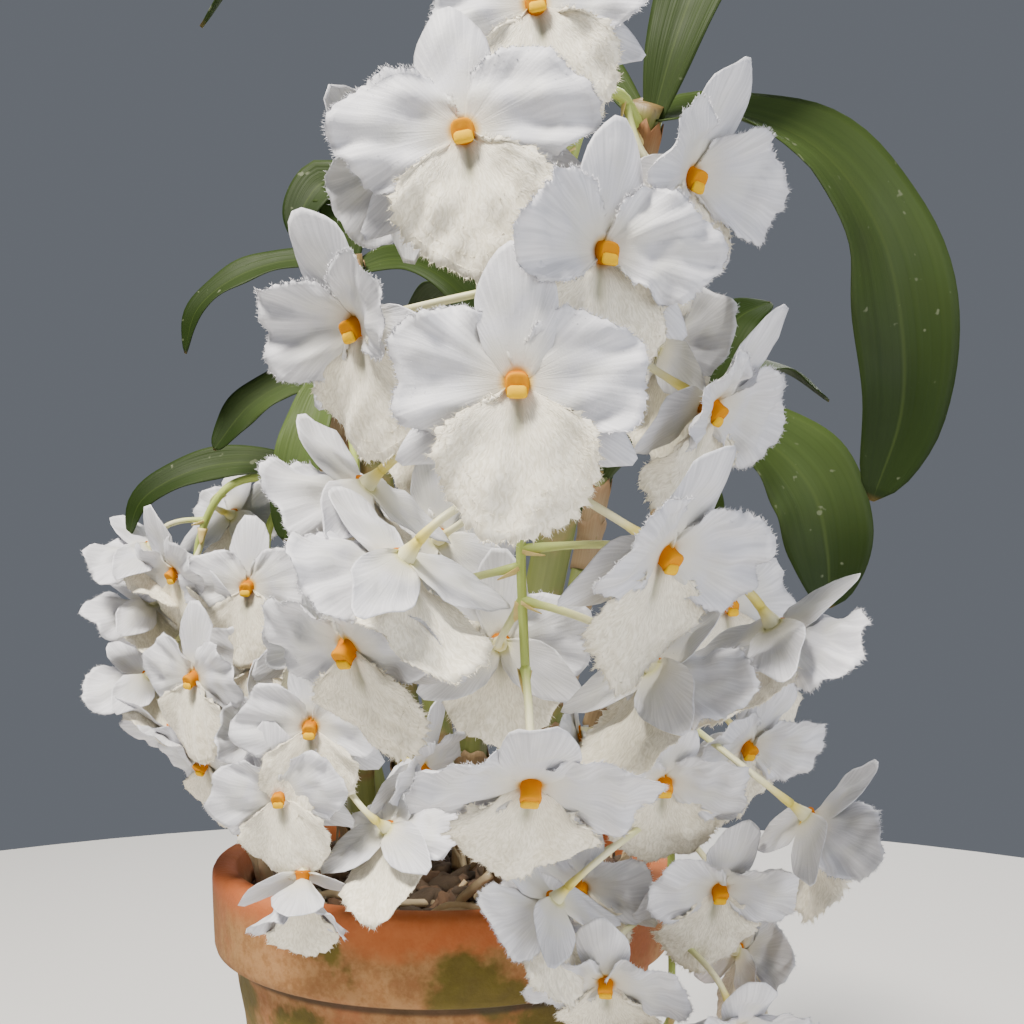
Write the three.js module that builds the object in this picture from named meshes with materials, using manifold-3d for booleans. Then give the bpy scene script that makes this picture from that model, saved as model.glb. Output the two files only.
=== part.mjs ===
// A potted Dendrobium farmeri in full flower: a clay pot, potting mix, nine canes with their leaves, and five
// hanging stalks of white blooms. Millimetres, +Z up. The origin is the middle of the pot's foot, and the
// front stalk hangs towards -Y, where the plant is looked at from.
import * as THREE from "three";
import { mergeVertices } from "three/addons/utils/BufferGeometryUtils.js";
import Module from "manifold-3d";

const wasm = await Module();
wasm.setup();

// Driving sizes
const GAP = 0.3; // between two pieces that touch
const POT = {
  height: 155,
  rim: 85,
  collar: 30,
  collarStep: 6,
  foot: 54,
  wall: 9,
  floor: 12,
  sides: 24,
  drain: { count: 4, radius: 6, ring: 27 },
};
const MIX = { top: 146, mound: 5, chips: 7, chipSize: [23, 12, 7], chipReach: 60 };
const CANE = { sides: 4, steps: 6, foot: 2.8, belly: 6.2, tip: 3.6 };
const LEAF = { thick: 0.9, fold: 0.22 };
const RACHIS = { radius: 1.5, sides: 5 };
const PEDICEL = { radius: 1.15, sides: 3, steps: 2, rise: 14, root: 3 };

// A bloom 50 mm across, seen from its front. Each blade is a list of rows: how far out a row lies, half its
// width, and how far forward its middle and its edges stand. A row with no middle has two points.
const BLOOM = {
  across: 50,
  hub: 2.8,
  level: 1.1,
  thick: 0.8,
  ovary: 6,
  column: { length: 6.5, radius: 2.9, lean: 1.6 },
  dorsal: [
    { out: 13, half: 7.8, edge: -2.2 },
    { out: 25, half: 5, edge: -3.4 },
  ],
  lateral: [
    { out: 14, half: 7.6, edge: -2.8 },
    { out: 28, half: 2.8, edge: -4.4 },
  ],
  petal: [
    { out: 8.8, half: 9.4, middle: 2.2, edge: 3.2 },
    { out: 19, half: 12.4, middle: 2.6, edge: 1.6 },
    { out: 25.5, half: 7.4, edge: 1 },
  ],
  lip: [
    { out: 12.5, half: 14.6, middle: 3.4, edge: 3.8 },
    { out: 22.5, half: 13.4, middle: 3.2, edge: 1.6 },
    { out: 30.5, half: 5.4, edge: 0 },
  ],
};

// The blades in order round the hub, one to each of its six sides, with the way that each one points and its
// share of the bloom's forward sweep
const BLADES = [
  { rows: BLOOM.petal, points: 5, sweep: 1, front: true },
  { rows: BLOOM.dorsal, points: 90, sweep: 1, front: false },
  { rows: BLOOM.petal, points: 175, sweep: 1, front: true },
  { rows: BLOOM.lateral, points: 213, sweep: 0.5, front: false },
  { rows: BLOOM.lip, points: 270, sweep: 0.15, front: true },
  { rows: BLOOM.lateral, points: 327, sweep: 0.5, front: false },
];

// The canes from foot to tip, and their leaves. A leaf's upper face looks along "up" at its base and along
// "over" at its tip.
const CANES = {
  front: {
    path: [[16, -26, 112], [24, -60, 190], [40, -115, 285], [58, -177, 374]],
    leaves: [
      {
        path: [[58, -176, 370], [76, -166, 376], [100, -164, 368], [118, -157, 349], [126, -150, 326],
          [127, -146, 303], [120, -143, 280]],
        half: 15, up: [0, -0.5, 0.8], over: [0.1, -1, 0],
      },
      {
        path: [[59, -176, 370], [64, -178, 388], [70, -177, 404], [79, -174, 421], [91, -169, 433],
          [104, -163, 436]],
        half: 9.5, up: [-0.4, -1, 0.2], over: [0, -0.6, 1],
      },
      {
        path: [[57, -176, 369], [46, -170, 386], [30, -166, 402], [8, -166, 414], [-18, -170, 417],
          [-39, -174, 408], [-50, -176, 393]],
        half: 8.5, up: [0, -0.8, 0.6], over: [-0.5, -0.3, 1],
      },
    ],
  },
  upper_left: {
    path: [[-6, -12, 112], [-12, -30, 200], [-20, -55, 290], [-27, -76, 362]],
    leaves: [
      {
        path: [[-27, -75, 357], [-43, -76, 360], [-62, -76, 355], [-75, -77, 344], [-79, -77, 330]],
        half: 6.5, up: [0, -0.7, 0.8], over: [-0.8, -0.7, 0.2],
      },
      {
        path: [[-27, -75, 358], [-29, -72, 372], [-31, -70, 382], [-36, -70, 387], [-42, -72, 379],
          [-44, -74, 367]],
        half: 8.5, up: [0.6, -1, 0.3], over: [-0.6, -1, 0.3],
      },
      {
        path: [[-26, -75, 357], [-12, -68, 362], [4, -60, 356], [16, -52, 340], [22, -46, 322]],
        half: 9, up: [0.2, -0.8, 0.8], over: [0.8, -0.8, 0.3],
      },
    ],
  },
  right: {
    path: [[30, -14, 112], [46, -45, 180], [64, -78, 245], [80, -103, 308]],
    leaves: [
      {
        path: [[80, -103, 304], [90, -102, 304], [104, -101, 297], [115, -100, 284], [119, -99, 268],
          [120, -98, 250]],
        half: 15, up: [0, -0.8, 0.6], over: [0.1, -1, 0.1],
      },
      {
        path: [[79, -101, 305], [92, -94, 320], [108, -88, 323], [124, -84, 314]],
        half: 7, up: [0, -0.2, 1], over: [0.4, -0.4, 1],
      },
      {
        path: [[80, -101, 305], [86, -93, 324], [95, -84, 339], [108, -74, 347]],
        half: 7.5, up: [0.8, -0.8, 0.3], over: [0.3, -0.5, 1],
      },
    ],
  },
  left: {
    path: [[-22, -14, 112], [-28, -30, 180], [-32, -50, 250], [-34, -67, 322]],
    leaves: [
      {
        path: [[-34, -67, 318], [-46, -66, 322], [-60, -66, 315], [-72, -67, 300]],
        half: 7.5, up: [0, -0.8, 0.7], over: [-0.5, -1, 0.3],
      },
      {
        path: [[-34, -68, 318], [-35, -76, 320], [-38, -83, 308], [-42, -87, 289], [-45, -88, 270]],
        half: 8, up: [0, -0.6, 1], over: [-0.3, -1, 0],
      },
      {
        path: [[-34, -66, 318], [-34, -52, 332], [-36, -38, 338], [-38, -20, 334], [-40, -6, 322]],
        half: 8.5, up: [0, -0.8, 0.8], over: [0, 0.6, 1],
      },
    ],
  },
  low_left: {
    path: [[-30, 6, 112], [-34, -10, 180], [-38, -28, 240], [-38, -43, 294]],
    leaves: [
      {
        path: [[-38, -43, 290], [-58, -43, 297], [-76, -42, 297], [-92, -42, 292], [-103, -42, 284],
          [-107, -42, 272]],
        half: 7, up: [0, -0.8, 0.7], over: [-0.6, -0.8, 0.3],
      },
      {
        path: [[-38, -42, 290], [-46, -28, 302], [-56, -12, 304], [-64, 4, 294], [-68, 16, 278]],
        half: 8.5, up: [-0.4, -0.6, 1], over: [-0.6, 0.6, 0.6],
      },
    ],
  },
  centre: {
    path: [[6, -4, 112], [10, -14, 190], [16, -28, 270], [22, -40, 345]],
    leaves: [
      {
        path: [[22, -40, 341], [30, -26, 356], [40, -8, 362], [50, 12, 356], [56, 26, 342]],
        half: 9.5, up: [-0.4, -0.8, 0.8], over: [0.4, 0.7, 0.6],
      },
      {
        path: [[22, -41, 341], [36, -46, 352], [54, -50, 352], [70, -50, 342], [80, -48, 328]],
        half: 9, up: [0, -0.8, 0.8], over: [0.8, -0.6, 0.5],
      },
      {
        path: [[21, -39, 341], [12, -22, 358], [2, -4, 366], [-8, 16, 362], [-16, 34, 348]],
        half: 9.5, up: [0.4, -0.8, 0.8], over: [-0.4, 0.8, 0.5],
      },
    ],
  },
  back_left: {
    path: [[-14, 22, 112], [-30, 34, 170], [-46, 44, 225], [-58, 50, 268]],
    leaves: [
      {
        path: [[-58, 50, 264], [-72, 56, 276], [-88, 62, 276], [-102, 66, 264], [-110, 68, 246]],
        half: 9.5, up: [0.3, -0.3, 1], over: [-1, 0.4, 0.4],
      },
      {
        path: [[-58, 51, 264], [-56, 66, 278], [-54, 84, 280], [-52, 100, 268], [-50, 108, 250]],
        half: 9.5, up: [0, -0.4, 1], over: [0, 1, 0.4],
      },
      {
        path: [[-58, 49, 264], [-68, 36, 278], [-78, 22, 280], [-88, 8, 270]],
        half: 8.5, up: [0.3, 0.4, 1], over: [-0.8, -0.6, 0.6],
      },
    ],
  },
  back_right: {
    path: [[24, 18, 112], [38, 26, 180], [50, 34, 240], [62, 42, 300]],
    leaves: [
      {
        path: [[62, 42, 296], [76, 46, 310], [92, 50, 310], [106, 52, 296], [112, 52, 276]],
        half: 10, up: [-0.4, -0.2, 1], over: [1, 0.3, 0.4],
      },
      {
        path: [[62, 43, 296], [64, 60, 312], [64, 80, 314], [62, 98, 300], [60, 106, 280]],
        half: 10, up: [0, -0.4, 1], over: [0, 1, 0.4],
      },
      {
        path: [[61, 43, 296], [48, 58, 312], [34, 74, 318], [20, 88, 308], [10, 96, 290]],
        half: 9, up: [0.4, -0.4, 1], over: [-0.6, 0.8, 0.5],
      },
      {
        path: [[63, 41, 296], [76, 26, 312], [90, 12, 314], [104, 0, 302]],
        half: 8.5, up: [-0.4, 0.4, 1], over: [0.8, -0.6, 0.6],
      },
    ],
  },
  old: {
    path: [[2, 36, 112], [-2, 52, 160], [-8, 64, 205], [-14, 72, 240]],
    leaves: [],
  },
};

// The stalks, and the blooms on them. A bloom turns to the right of -Y by "turn", looks down by "nod" and
// leans its top to the right by "roll", in degrees. "cup" sweeps its blades forward, and "lip" the lip alone.
const STALKS = {
  front: {
    cane: "front",
    path: [[56, -176, 368], [50, -183, 374], [43, -190, 368], [38, -193, 354], [32, -193, 325],
      [28, -191, 295], [27, -190, 268], [28, -189, 240]],
    blooms: [
      { at: [26, -224, 300], turn: 0, nod: 0, roll: 0, size: 50, cup: 0 },
      { at: [15, -214, 354], turn: -5, nod: 0, roll: -10, size: 51, cup: 4 },
      { at: [43, -218, 329], turn: 28, nod: 3, roll: 3, size: 48, cup: 20 },
      { at: [30, -205, 385], turn: 0, nod: -2, roll: -11, size: 46, cup: 0 },
      { at: [29, -209, 219], turn: 0, nod: 46, roll: 7, size: 49, cup: 10 },
      { at: [57, -204, 267], turn: 42, nod: 28, roll: 7, size: 49, cup: 18 },
      { at: [70, -185, 301], turn: 58, nod: 33, roll: 4, size: 49, cup: 20 },
      { at: [64, -193, 352], turn: 45, nod: 20, roll: 3, size: 50, cup: 25 },
      { at: [-8, -199, 317], turn: -45, nod: 20, roll: -5, size: 49, cup: 25 },
      { at: [-11, -192, 246], turn: -38, nod: 34, roll: -6, size: 48, cup: 0 },
      { at: [-9, -182, 282], turn: -122, nod: 36, roll: 0, size: 47, cup: 24 },
      { at: [2, -205, 265], turn: -128, nod: 42, roll: 0, size: 48, cup: 20 },
      { at: [57, -186, 240], turn: 122, nod: 42, roll: 0, size: 47, cup: 20 },
      { at: [87, -176, 249], turn: 110, nod: 52, roll: 0, size: 48, cup: 20 },
      { at: [-2, -176, 360], turn: -150, nod: 0, roll: 60, size: 44, cup: 0 },
      { at: [62, -160, 318], turn: 120, nod: 6, roll: 0, size: 45, cup: 8 },
      { at: [22, -152, 243], turn: 176, nod: 0, roll: 0, size: 44, cup: 4 },
      { at: [6, -152, 270], turn: -165, nod: 6, roll: 0, size: 44, cup: 6 },
      { at: [6, -150, 306], turn: -155, nod: 0, roll: 0, size: 45, cup: 6 },
    ],
  },
  right: {
    cane: "right",
    path: [[78, -102, 300], [84, -111, 304], [82, -110, 286], [76, -99, 242], [73, -94, 204],
      [73, -93, 166], [73, -93, 128]],
    blooms: [
      { at: [68, -116, 203], turn: 3, nod: 34, roll: 2, size: 47, cup: 18 },
      { at: [95, -95, 210], turn: 28, nod: 34, roll: 8, size: 47, cup: 16 },
      { at: [85, -104, 170], turn: 12, nod: 32, roll: 6, size: 47, cup: 14 },
      { at: [106, -126, 194], turn: 98, nod: 38, roll: 0, size: 46, cup: 28, lip: 30 },
      { at: [52, -110, 145], turn: -10, nod: 35, roll: 0, size: 46, cup: 12 },
      { at: [37, -121, 170], turn: -118, nod: 44, roll: 0, size: 46, cup: 20, lip: 25 },
      { at: [46, -93, 167], turn: -10, nod: 20, roll: 0, size: 44, cup: 10 },
      { at: [88, -114, 133], turn: 14, nod: 48, roll: 0, size: 46, cup: 8 },
      { at: [86, -112, 252], turn: 28, nod: 4, roll: 0, size: 45, cup: 4 },
      { at: [109, -72, 229], turn: 58, nod: 8, roll: 0, size: 45, cup: 4 },
      { at: [46, -94, 212], turn: -95, nod: 10, roll: 0, size: 44, cup: 6 },
      { at: [63, -97, 108], turn: -30, nod: 48, roll: 0, size: 44, cup: 4 },
      { at: [96, -76, 142], turn: 110, nod: 12, roll: 0, size: 44, cup: 6 },
    ],
  },
  far_left: {
    cane: "low_left",
    path: [[-38, -42, 287], [-50, -53, 292], [-68, -60, 289], [-79, -56, 272], [-81, -49, 246],
      [-80, -46, 222]],
    blooms: [
      { at: [-97, -49, 269], turn: -130, nod: 48, roll: 0, size: 42, cup: 25 },
      { at: [-98, -46, 250], turn: -124, nod: 46, roll: 0, size: 42, cup: 25 },
      { at: [-98, -47, 225], turn: -128, nod: 48, roll: 0, size: 42, cup: 25 },
      { at: [-89, -51, 208], turn: -58, nod: 52, roll: 0, size: 43, cup: 16 },
      { at: [-85, -61, 261], turn: -42, nod: 26, roll: -6, size: 42, cup: 12 },
      { at: [-74, -30, 280], turn: 150, nod: 14, roll: 0, size: 42, cup: 6 },
      { at: [-100, -14, 236], turn: -140, nod: 10, roll: 0, size: 41, cup: 6 },
    ],
  },
  mid_left: {
    cane: "low_left",
    path: [[-38, -44, 280], [-48, -50, 288], [-57, -50, 276], [-58, -45, 250], [-56, -42, 222],
      [-61, -41, 202]],
    blooms: [
      { at: [-57, -66, 231], turn: 5, nod: 4, roll: 0, size: 43, cup: 4 },
      { at: [-74, -78, 228], turn: -36, nod: 12, roll: 4, size: 43, cup: 4 },
      { at: [-74, -66, 200], turn: -40, nod: 34, roll: 0, size: 44, cup: 0 },
      { at: [-60, -68, 256], turn: -8, nod: 4, roll: 0, size: 42, cup: 4 },
      { at: [-37, -77, 240], turn: 40, nod: 12, roll: 0, size: 41, cup: 8 },
      { at: [-46, -18, 216], turn: 150, nod: 10, roll: 0, size: 42, cup: 6 },
    ],
  },
  near_left: {
    cane: "left",
    path: [[-34, -68, 312], [-30, -80, 316], [-24, -88, 300], [-24, -88, 260], [-28, -87, 222],
      [-31, -89, 200], [-35, -94, 182]],
    blooms: [
      { at: [-43, -102, 196], turn: -8, nod: 16, roll: -6, size: 41, cup: 6 },
      { at: [-37, -99, 172], turn: 4, nod: 66, roll: 0, size: 42, cup: 50, lip: 46 },
      { at: [-12, -100, 185], turn: 140, nod: 34, roll: 10, size: 43, cup: 14 },
      { at: [-4, -82, 200], turn: 70, nod: 24, roll: 0, size: 42, cup: 6 },
      { at: [-34, -104, 216], turn: 0, nod: 8, roll: 0, size: 43, cup: 4 },
      { at: [-52, -78, 210], turn: -110, nod: 14, roll: 0, size: 42, cup: 6 },
    ],
  },
};

// Dry stubs and roots that stand in the mix or lie on it
const STUBS = [
  { path: [[-60, -28, 138], [-65, -30, 160], [-69, -32, 172]], radius: 1.8 },
  { path: [[-56, -34, 138], [-60, -38, 158], [-61, -39, 168]], radius: 2.2 },
  { path: [[-60, -25, 138], [-66, -27, 158], [-84, -30, 188]], radius: 1.1 },
  { path: [[2, -60, 140], [8, -66, 154], [18, -70, 164]], radius: 1.5 },
  { path: [[-8, -64, 142], [4, -68, 153], [24, -66, 150]], radius: 1.6 },
  { path: [[18, -62, 140], [10, -70, 152], [-12, -70, 147]], radius: 1.3 },
  { path: [[50, 40, 138], [54, 44, 160], [56, 46, 174]], radius: 2.4 },
  { path: [[40, -40, 142], [56, -30, 152], [66, -12, 146]], radius: 1.5 },
];

const COLOURS = {
  terracotta: { color: 0xb9683f, roughness: 0.9 },
  bark: { color: 0x4b3524, roughness: 0.95 },
  leaf: { color: 0x3c5a24, roughness: 0.5 },
  stalk: { color: 0xa9bd62, roughness: 0.55 },
  bloom: { color: 0xf2f0e8, roughness: 0.7 },
};

// Repeatable random numbers
let seed = 4127;
function random(low, high) {
  seed = (seed * 16807) % 2147483647;
  return low + (high - low) * (seed / 2147483647);
}

const vector = (p) => new THREE.Vector3(...p);
const curveThrough = (points) => new THREE.CatmullRomCurve3(points.map(vector), false, "centripetal");

// A closed geometry as a solid: vertices that share a place become one, and flat triangles at a pole go.
function solid(geometry) {
  const bare = new THREE.BufferGeometry();
  bare.setAttribute("position", geometry.getAttribute("position"));
  bare.setIndex(geometry.index);
  const merged = mergeVertices(bare);
  const corners = merged.index.array;
  const kept = [];
  for (let i = 0; i < corners.length; i += 3) {
    const [a, b, c] = corners.slice(i, i + 3);
    if (a !== b && b !== c && c !== a) {
      kept.push(a, b, c);
    }
  }
  return new wasm.Manifold(
    new wasm.Mesh({
      numProp: 3,
      vertProperties: merged.getAttribute("position").array,
      triVerts: new Uint32Array(kept),
    }),
  );
}

// The geometry of a solid, with slivers under a hundredth of a millimetre taken out
function geometryOf(made) {
  const mesh = made.simplify(0.03).getMesh();
  const geometry = new THREE.BufferGeometry();
  geometry.setAttribute("position", new THREE.BufferAttribute(mesh.vertProperties, 3));
  geometry.setIndex(new THREE.BufferAttribute(mesh.triVerts, 1));
  geometry.computeVertexNormals();
  return geometry;
}

// Where a cut leaves scraps, only the largest piece stays.
function largest(made) {
  const bodies = made.decompose();
  return bodies.reduce((best, body) => (body.volume() > best.volume() ? body : best));
}

function union(solids) {
  return largest(wasm.Manifold.union(solids));
}

// A tube along a curve. swell gives the radius at each step as a share of the section's radius, and grow
// makes it that much fatter and longer at both ends.
function tube(curve, radius, sides, steps, { swell = () => 1, grow = 0 } = {}) {
  const corners = [];
  for (let i = 0; i < sides; i += 1) {
    const angle = (2 * Math.PI * i) / sides;
    corners.push(new THREE.Vector2(Math.cos(angle), Math.sin(angle)));
  }
  const geometry = new THREE.ExtrudeGeometry(new THREE.Shape(corners), {
    steps,
    extrudePath: curve,
    bevelEnabled: false,
  });
  const centres = curve.getSpacedPoints(steps);
  const place = geometry.getAttribute("position");
  const point = new THREE.Vector3();
  for (let i = 0; i < place.count; i += 1) {
    point.fromBufferAttribute(place, i);
    const near = centres.reduce(
      (best, centre, k) => (point.distanceTo(centre) < point.distanceTo(centres[best]) ? k : best),
      0,
    );
    const size = radius * swell(near / steps) + grow;
    point.sub(centres[near]).multiplyScalar(size).add(centres[near]);
    if (near === 0 || near === steps) {
      point.addScaledVector(curve.getTangentAt(near / steps), near === 0 ? -grow : grow);
    }
    place.setXYZ(i, point.x, point.y, point.z);
  }
  return solid(geometry);
}

// The triangles between two rows of a blade, as [row, place in the row]
function strip(lower, upper, i) {
  const low = (k) => [i, k];
  const high = (k) => [i + 1, k];
  if (lower === 2 && upper === 2) {
    return [[low(0), low(1), high(1)], [low(0), high(1), high(0)]];
  }
  if (lower === 2) {
    return [[low(0), low(1), high(1)], [low(0), high(1), high(0)], [low(1), high(2), high(1)]];
  }
  if (upper === 2) {
    return [[low(0), low(1), high(0)], [low(1), high(1), high(0)], [low(1), low(2), high(1)]];
  }
  return [
    [low(0), low(1), high(1)], [low(0), high(1), high(0)],
    [low(1), low(2), high(2)], [low(1), high(2), high(1)],
  ];
}

// A blade's faces as loose triangles. Each row has its points on the front and on the back, left to right.
// Both faces are split alike, and the foot is left open where the blade grows from something.
function bladeFaces(rows, { openFoot = false } = {}) {
  const triangles = [];
  for (let i = 0; i < rows.length - 1; i += 1) {
    for (const corners of strip(rows[i].front.length, rows[i + 1].front.length, i)) {
      triangles.push(corners.map(([row, k]) => rows[row].front[k]));
      triangles.push(corners.map(([row, k]) => rows[row].back[k]).reverse());
    }
  }
  const foot = rows[0];
  const tip = rows[rows.length - 1];
  const rim = [];
  foot.front.forEach((_, k) => rim.push([foot, k]));
  rows.slice(1).forEach((row) => rim.push([row, row.front.length - 1]));
  tip.front.slice(0, -1).reverse().forEach((_, k) => rim.push([tip, tip.front.length - 2 - k]));
  rows.slice(1, -1).reverse().forEach((row) => rim.push([row, 0]));
  rim.forEach(([row, k], i) => {
    const [nextRow, nextK] = rim[(i + 1) % rim.length];
    if (openFoot && row === foot && nextRow === foot && i < foot.front.length - 1) {
      return;
    }
    const [p, q] = [row.front[k], nextRow.front[nextK]];
    const [pBack, qBack] = [row.back[k], nextRow.back[nextK]];
    triangles.push([q, p, pBack], [q, pBack, qBack]);
  });
  return triangles;
}

function geometryFrom(triangles) {
  const geometry = new THREE.BufferGeometry();
  const numbers = triangles.flat().flatMap((p) => [p.x, p.y, p.z]);
  geometry.setAttribute("position", new THREE.Float32BufferAttribute(numbers, 3));
  return geometry;
}

// The two faces of a row: half the thickness either way along the row's normal
function thicken(points, normal, thick) {
  return {
    front: points.map((p) => p.clone().addScaledVector(normal, thick / 2)),
    back: points.map((p) => p.clone().addScaledVector(normal, -thick / 2)),
  };
}

// A leaf along a path, folded a little along its midrib
function leaf({ path, half, up, over }, grow = 0) {
  const curve = curveThrough(path);
  const widths = [0.26, 0.72, 0.98, 1, 0.78, 0.12];
  const last = widths.length - 1;
  const rows = widths.map((share, i) => {
    const along = i / last;
    const point = curve.getPointAt(along);
    const ahead = curve.getTangentAt(along);
    const face = vector(up).normalize().lerp(vector(over).normalize(), along);
    const right = new THREE.Vector3().crossVectors(ahead, face).normalize();
    const normal = new THREE.Vector3().crossVectors(right, ahead).normalize();
    const reach = half * share + grow;
    const lift = reach * LEAF.fold;
    if (i === last) {
      point.addScaledVector(ahead, grow);
    }
    const left = point.clone().addScaledVector(right, -reach).addScaledVector(normal, lift);
    const rightEdge = point.clone().addScaledVector(right, reach).addScaledVector(normal, lift);
    const points = i === 0 || i === last ? [left, rightEdge] : [left, point, rightEdge];
    return thicken(points, normal, LEAF.thick + 2 * grow);
  });
  return solid(geometryFrom(bladeFaces(rows)));
}

function caneSwell(along) {
  const foot = CANE.foot / CANE.belly;
  const tip = CANE.tip / CANE.belly;
  const belly = Math.sin(Math.PI * Math.min(1, along * 0.9 + 0.05)) ** 0.8;
  return THREE.MathUtils.lerp(foot, tip, along) + belly * (1 - THREE.MathUtils.lerp(foot, tip, along));
}

function cane({ path, leaves }, grow = 0) {
  const stem = tube(curveThrough(path), CANE.belly, CANE.sides, CANE.steps, {
    swell: caneSwell,
    grow,
  });
  return union([stem, ...leaves.map((blade) => leaf(blade, grow))]);
}

// The frame of a bloom: right and up as its own face sees them, and the way that it faces
function bloomFrame({ at, turn, nod, roll }) {
  const [t, n, r] = [turn, nod, roll].map(THREE.MathUtils.degToRad);
  const facing = new THREE.Vector3(Math.sin(t) * Math.cos(n), -Math.cos(t) * Math.cos(n), -Math.sin(n));
  const level = new THREE.Vector3(Math.cos(t), Math.sin(t), 0);
  const upright = new THREE.Vector3().crossVectors(facing, level);
  const right = level.clone().multiplyScalar(Math.cos(r)).addScaledVector(upright, -Math.sin(r));
  const up = upright.clone().multiplyScalar(Math.cos(r)).addScaledVector(level, Math.sin(r));
  return { centre: vector(at), right, up, facing };
}

// The six corners of a ring round the bloom's axis
function ring(radius, forward, drop = 0) {
  return Array.from({ length: 6 }, (_, k) => {
    const angle = (Math.PI / 3) * k;
    return new THREE.Vector3(Math.cos(angle) * radius, Math.sin(angle) * radius - drop, forward);
  });
}

// The band of faces between two rings, outwards, with the sides in skip left open
function band(back, front, skip = []) {
  return back.flatMap((p, k) => {
    const next = (k + 1) % 6;
    return skip.includes(k) ? [] : [[p, back[next], front[next]], [p, front[next], front[k]]];
  });
}

function lid(corners) {
  return corners.slice(2).map((p, k) => [corners[0], corners[k + 1], p]);
}

// A bloom as one closed surface: petals and lip grow from the front half of the hub, sepals from its back
// half, the column stands on its face and the ovary runs out behind. On the farther stalks the blades have no
// fold, and the two lateral sepals are left out.
function bloom(place, { grow = 0, far = false } = {}) {
  const { hub, level, ovary, column } = BLOOM;
  const front = ring(hub + grow, level + grow);
  const middle = ring(hub + grow, 0);
  const back = ring(hub + grow, -level - grow);
  const columnTop = ring(column.radius + grow, column.length + grow, column.lean);
  const ovaryEnd = new THREE.Vector3(0, 0, -ovary - grow);
  const triangles = [
    ...band(middle, front, [0, 2, 4]),
    ...band(back, middle, far ? [1] : [1, 3, 5]),
    ...band(front, columnTop),
    ...lid(columnTop),
    ...back.map((p, k) => [ovaryEnd, back[(k + 1) % 6], p]),
  ];
  BLADES.forEach((blade, k) => {
    if (far && blade.rows === BLOOM.lateral) {
      return;
    }
    const own = blade.rows === BLOOM.lip ? place.lip : undefined;
    const cup = THREE.MathUtils.degToRad(own ?? place.cup * blade.sweep);
    const way = THREE.MathUtils.degToRad(blade.points);
    const out = new THREE.Vector3(Math.cos(way), Math.sin(way), 0);
    const right = new THREE.Vector3(Math.sin(way), -Math.cos(way), 0);
    const [near, rear] = blade.front ? [front, middle] : [middle, back];
    const next = (k + 1) % 6;
    const rows = [{ front: [near[next], near[k]], back: [rear[next], rear[k]] }];
    blade.rows.forEach((row, i) => {
      const last = i === blade.rows.length - 1;
      const away = row.out + (last ? grow : 0);
      const spot = (side, forward) =>
        out.clone().multiplyScalar(away * Math.cos(cup) - forward * Math.sin(cup))
          .addScaledVector(right, side)
          .setZ(forward * Math.cos(cup) + away * Math.sin(cup));
      const half = row.half + grow;
      const points = [spot(-half, row.edge), spot(half, row.edge)];
      if (row.middle !== undefined && !far) {
        points.splice(1, 0, spot(0, row.middle));
      }
      const normal = out.clone().multiplyScalar(-Math.sin(cup)).setZ(Math.cos(cup));
      rows.push(thicken(points, normal, BLOOM.thick + 2 * grow));
    });
    triangles.push(...bladeFaces(rows, { openFoot: true }));
  });
  const { centre, right, up, facing } = bloomFrame(place);
  const scale = place.size / BLOOM.across;
  const turned = new THREE.Matrix4().makeBasis(right, up, facing);
  const geometry = geometryFrom(triangles);
  geometry.scale(scale, scale, scale).applyMatrix4(turned).translate(centre.x, centre.y, centre.z);
  return solid(geometry);
}

// A pedicel from the nearest stretch of the stalk, a little above the bloom, to the end of the ovary, or into
// the ovary by "sunk"
function pedicel(place, stalk, { grow = 0, sunk = -GAP }) {
  const { centre, facing } = bloomFrame(place);
  const scale = place.size / BLOOM.across;
  const end = centre.clone().addScaledVector(facing, -BLOOM.ovary * scale + sunk);
  const high = end.clone().setZ(end.z + PEDICEL.rise);
  const nearest = (best, p) => (p.distanceTo(high) < best.distanceTo(high) ? p : best);
  const node = stalk.getSpacedPoints(40).reduce(nearest);
  const bend = end.clone().addScaledVector(facing, -0.4 * node.distanceTo(end));
  const route = new THREE.QuadraticBezierCurve3(node, bend, end);
  return tube(route, PEDICEL.radius, PEDICEL.sides, PEDICEL.steps, { grow });
}

function stalk({ path, blooms }, options = {}) {
  const curve = curveThrough(path);
  const main = tube(curve, RACHIS.radius, RACHIS.sides, path.length + 3, options);
  return union([main, ...blooms.map((place) => pedicel(place, curve, options))]);
}

// A stalk and its blooms as one body
function spray(shape, grow = 0) {
  const blooms = shape.blooms.map((place) => bloom(place, { grow, far: true }));
  return union([stalk(shape, { grow, sunk: PEDICEL.root }), ...blooms]);
}

// The clay pot, turned from its section, with drain holes round the middle of the floor
function pot() {
  const { height, rim, collar, collarStep, foot, wall, floor } = POT;
  const shoulder = height - collar;
  const body = rim - collarStep - 2;
  const section = [
    [0, 0], [foot - 2, 0], [foot, 2], [body, shoulder], [rim - 2.5, shoulder + 1], [rim - 1, shoulder + 3],
    [rim, height - 3], [rim - 1.5, height - 0.8], [rim - 4, height], [rim - wall + 1, height],
    [rim - wall, height - 2], [body - wall, shoulder], [foot - wall + 3, floor], [0, floor],
  ];
  const profile = section.map(([x, y]) => new THREE.Vector2(x, y));
  let made = solid(new THREE.LatheGeometry(profile, POT.sides).rotateX(Math.PI / 2));
  for (let i = 0; i < POT.drain.count; i += 1) {
    const angle = (2 * Math.PI * (i + 0.5)) / POT.drain.count;
    const hole = new THREE.CylinderGeometry(POT.drain.radius, POT.drain.radius, 3 * floor, 10);
    hole.rotateX(Math.PI / 2);
    hole.translate(Math.cos(angle) * POT.drain.ring, Math.sin(angle) * POT.drain.ring, 0);
    made = made.subtract(solid(hole));
  }
  return made;
}

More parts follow.
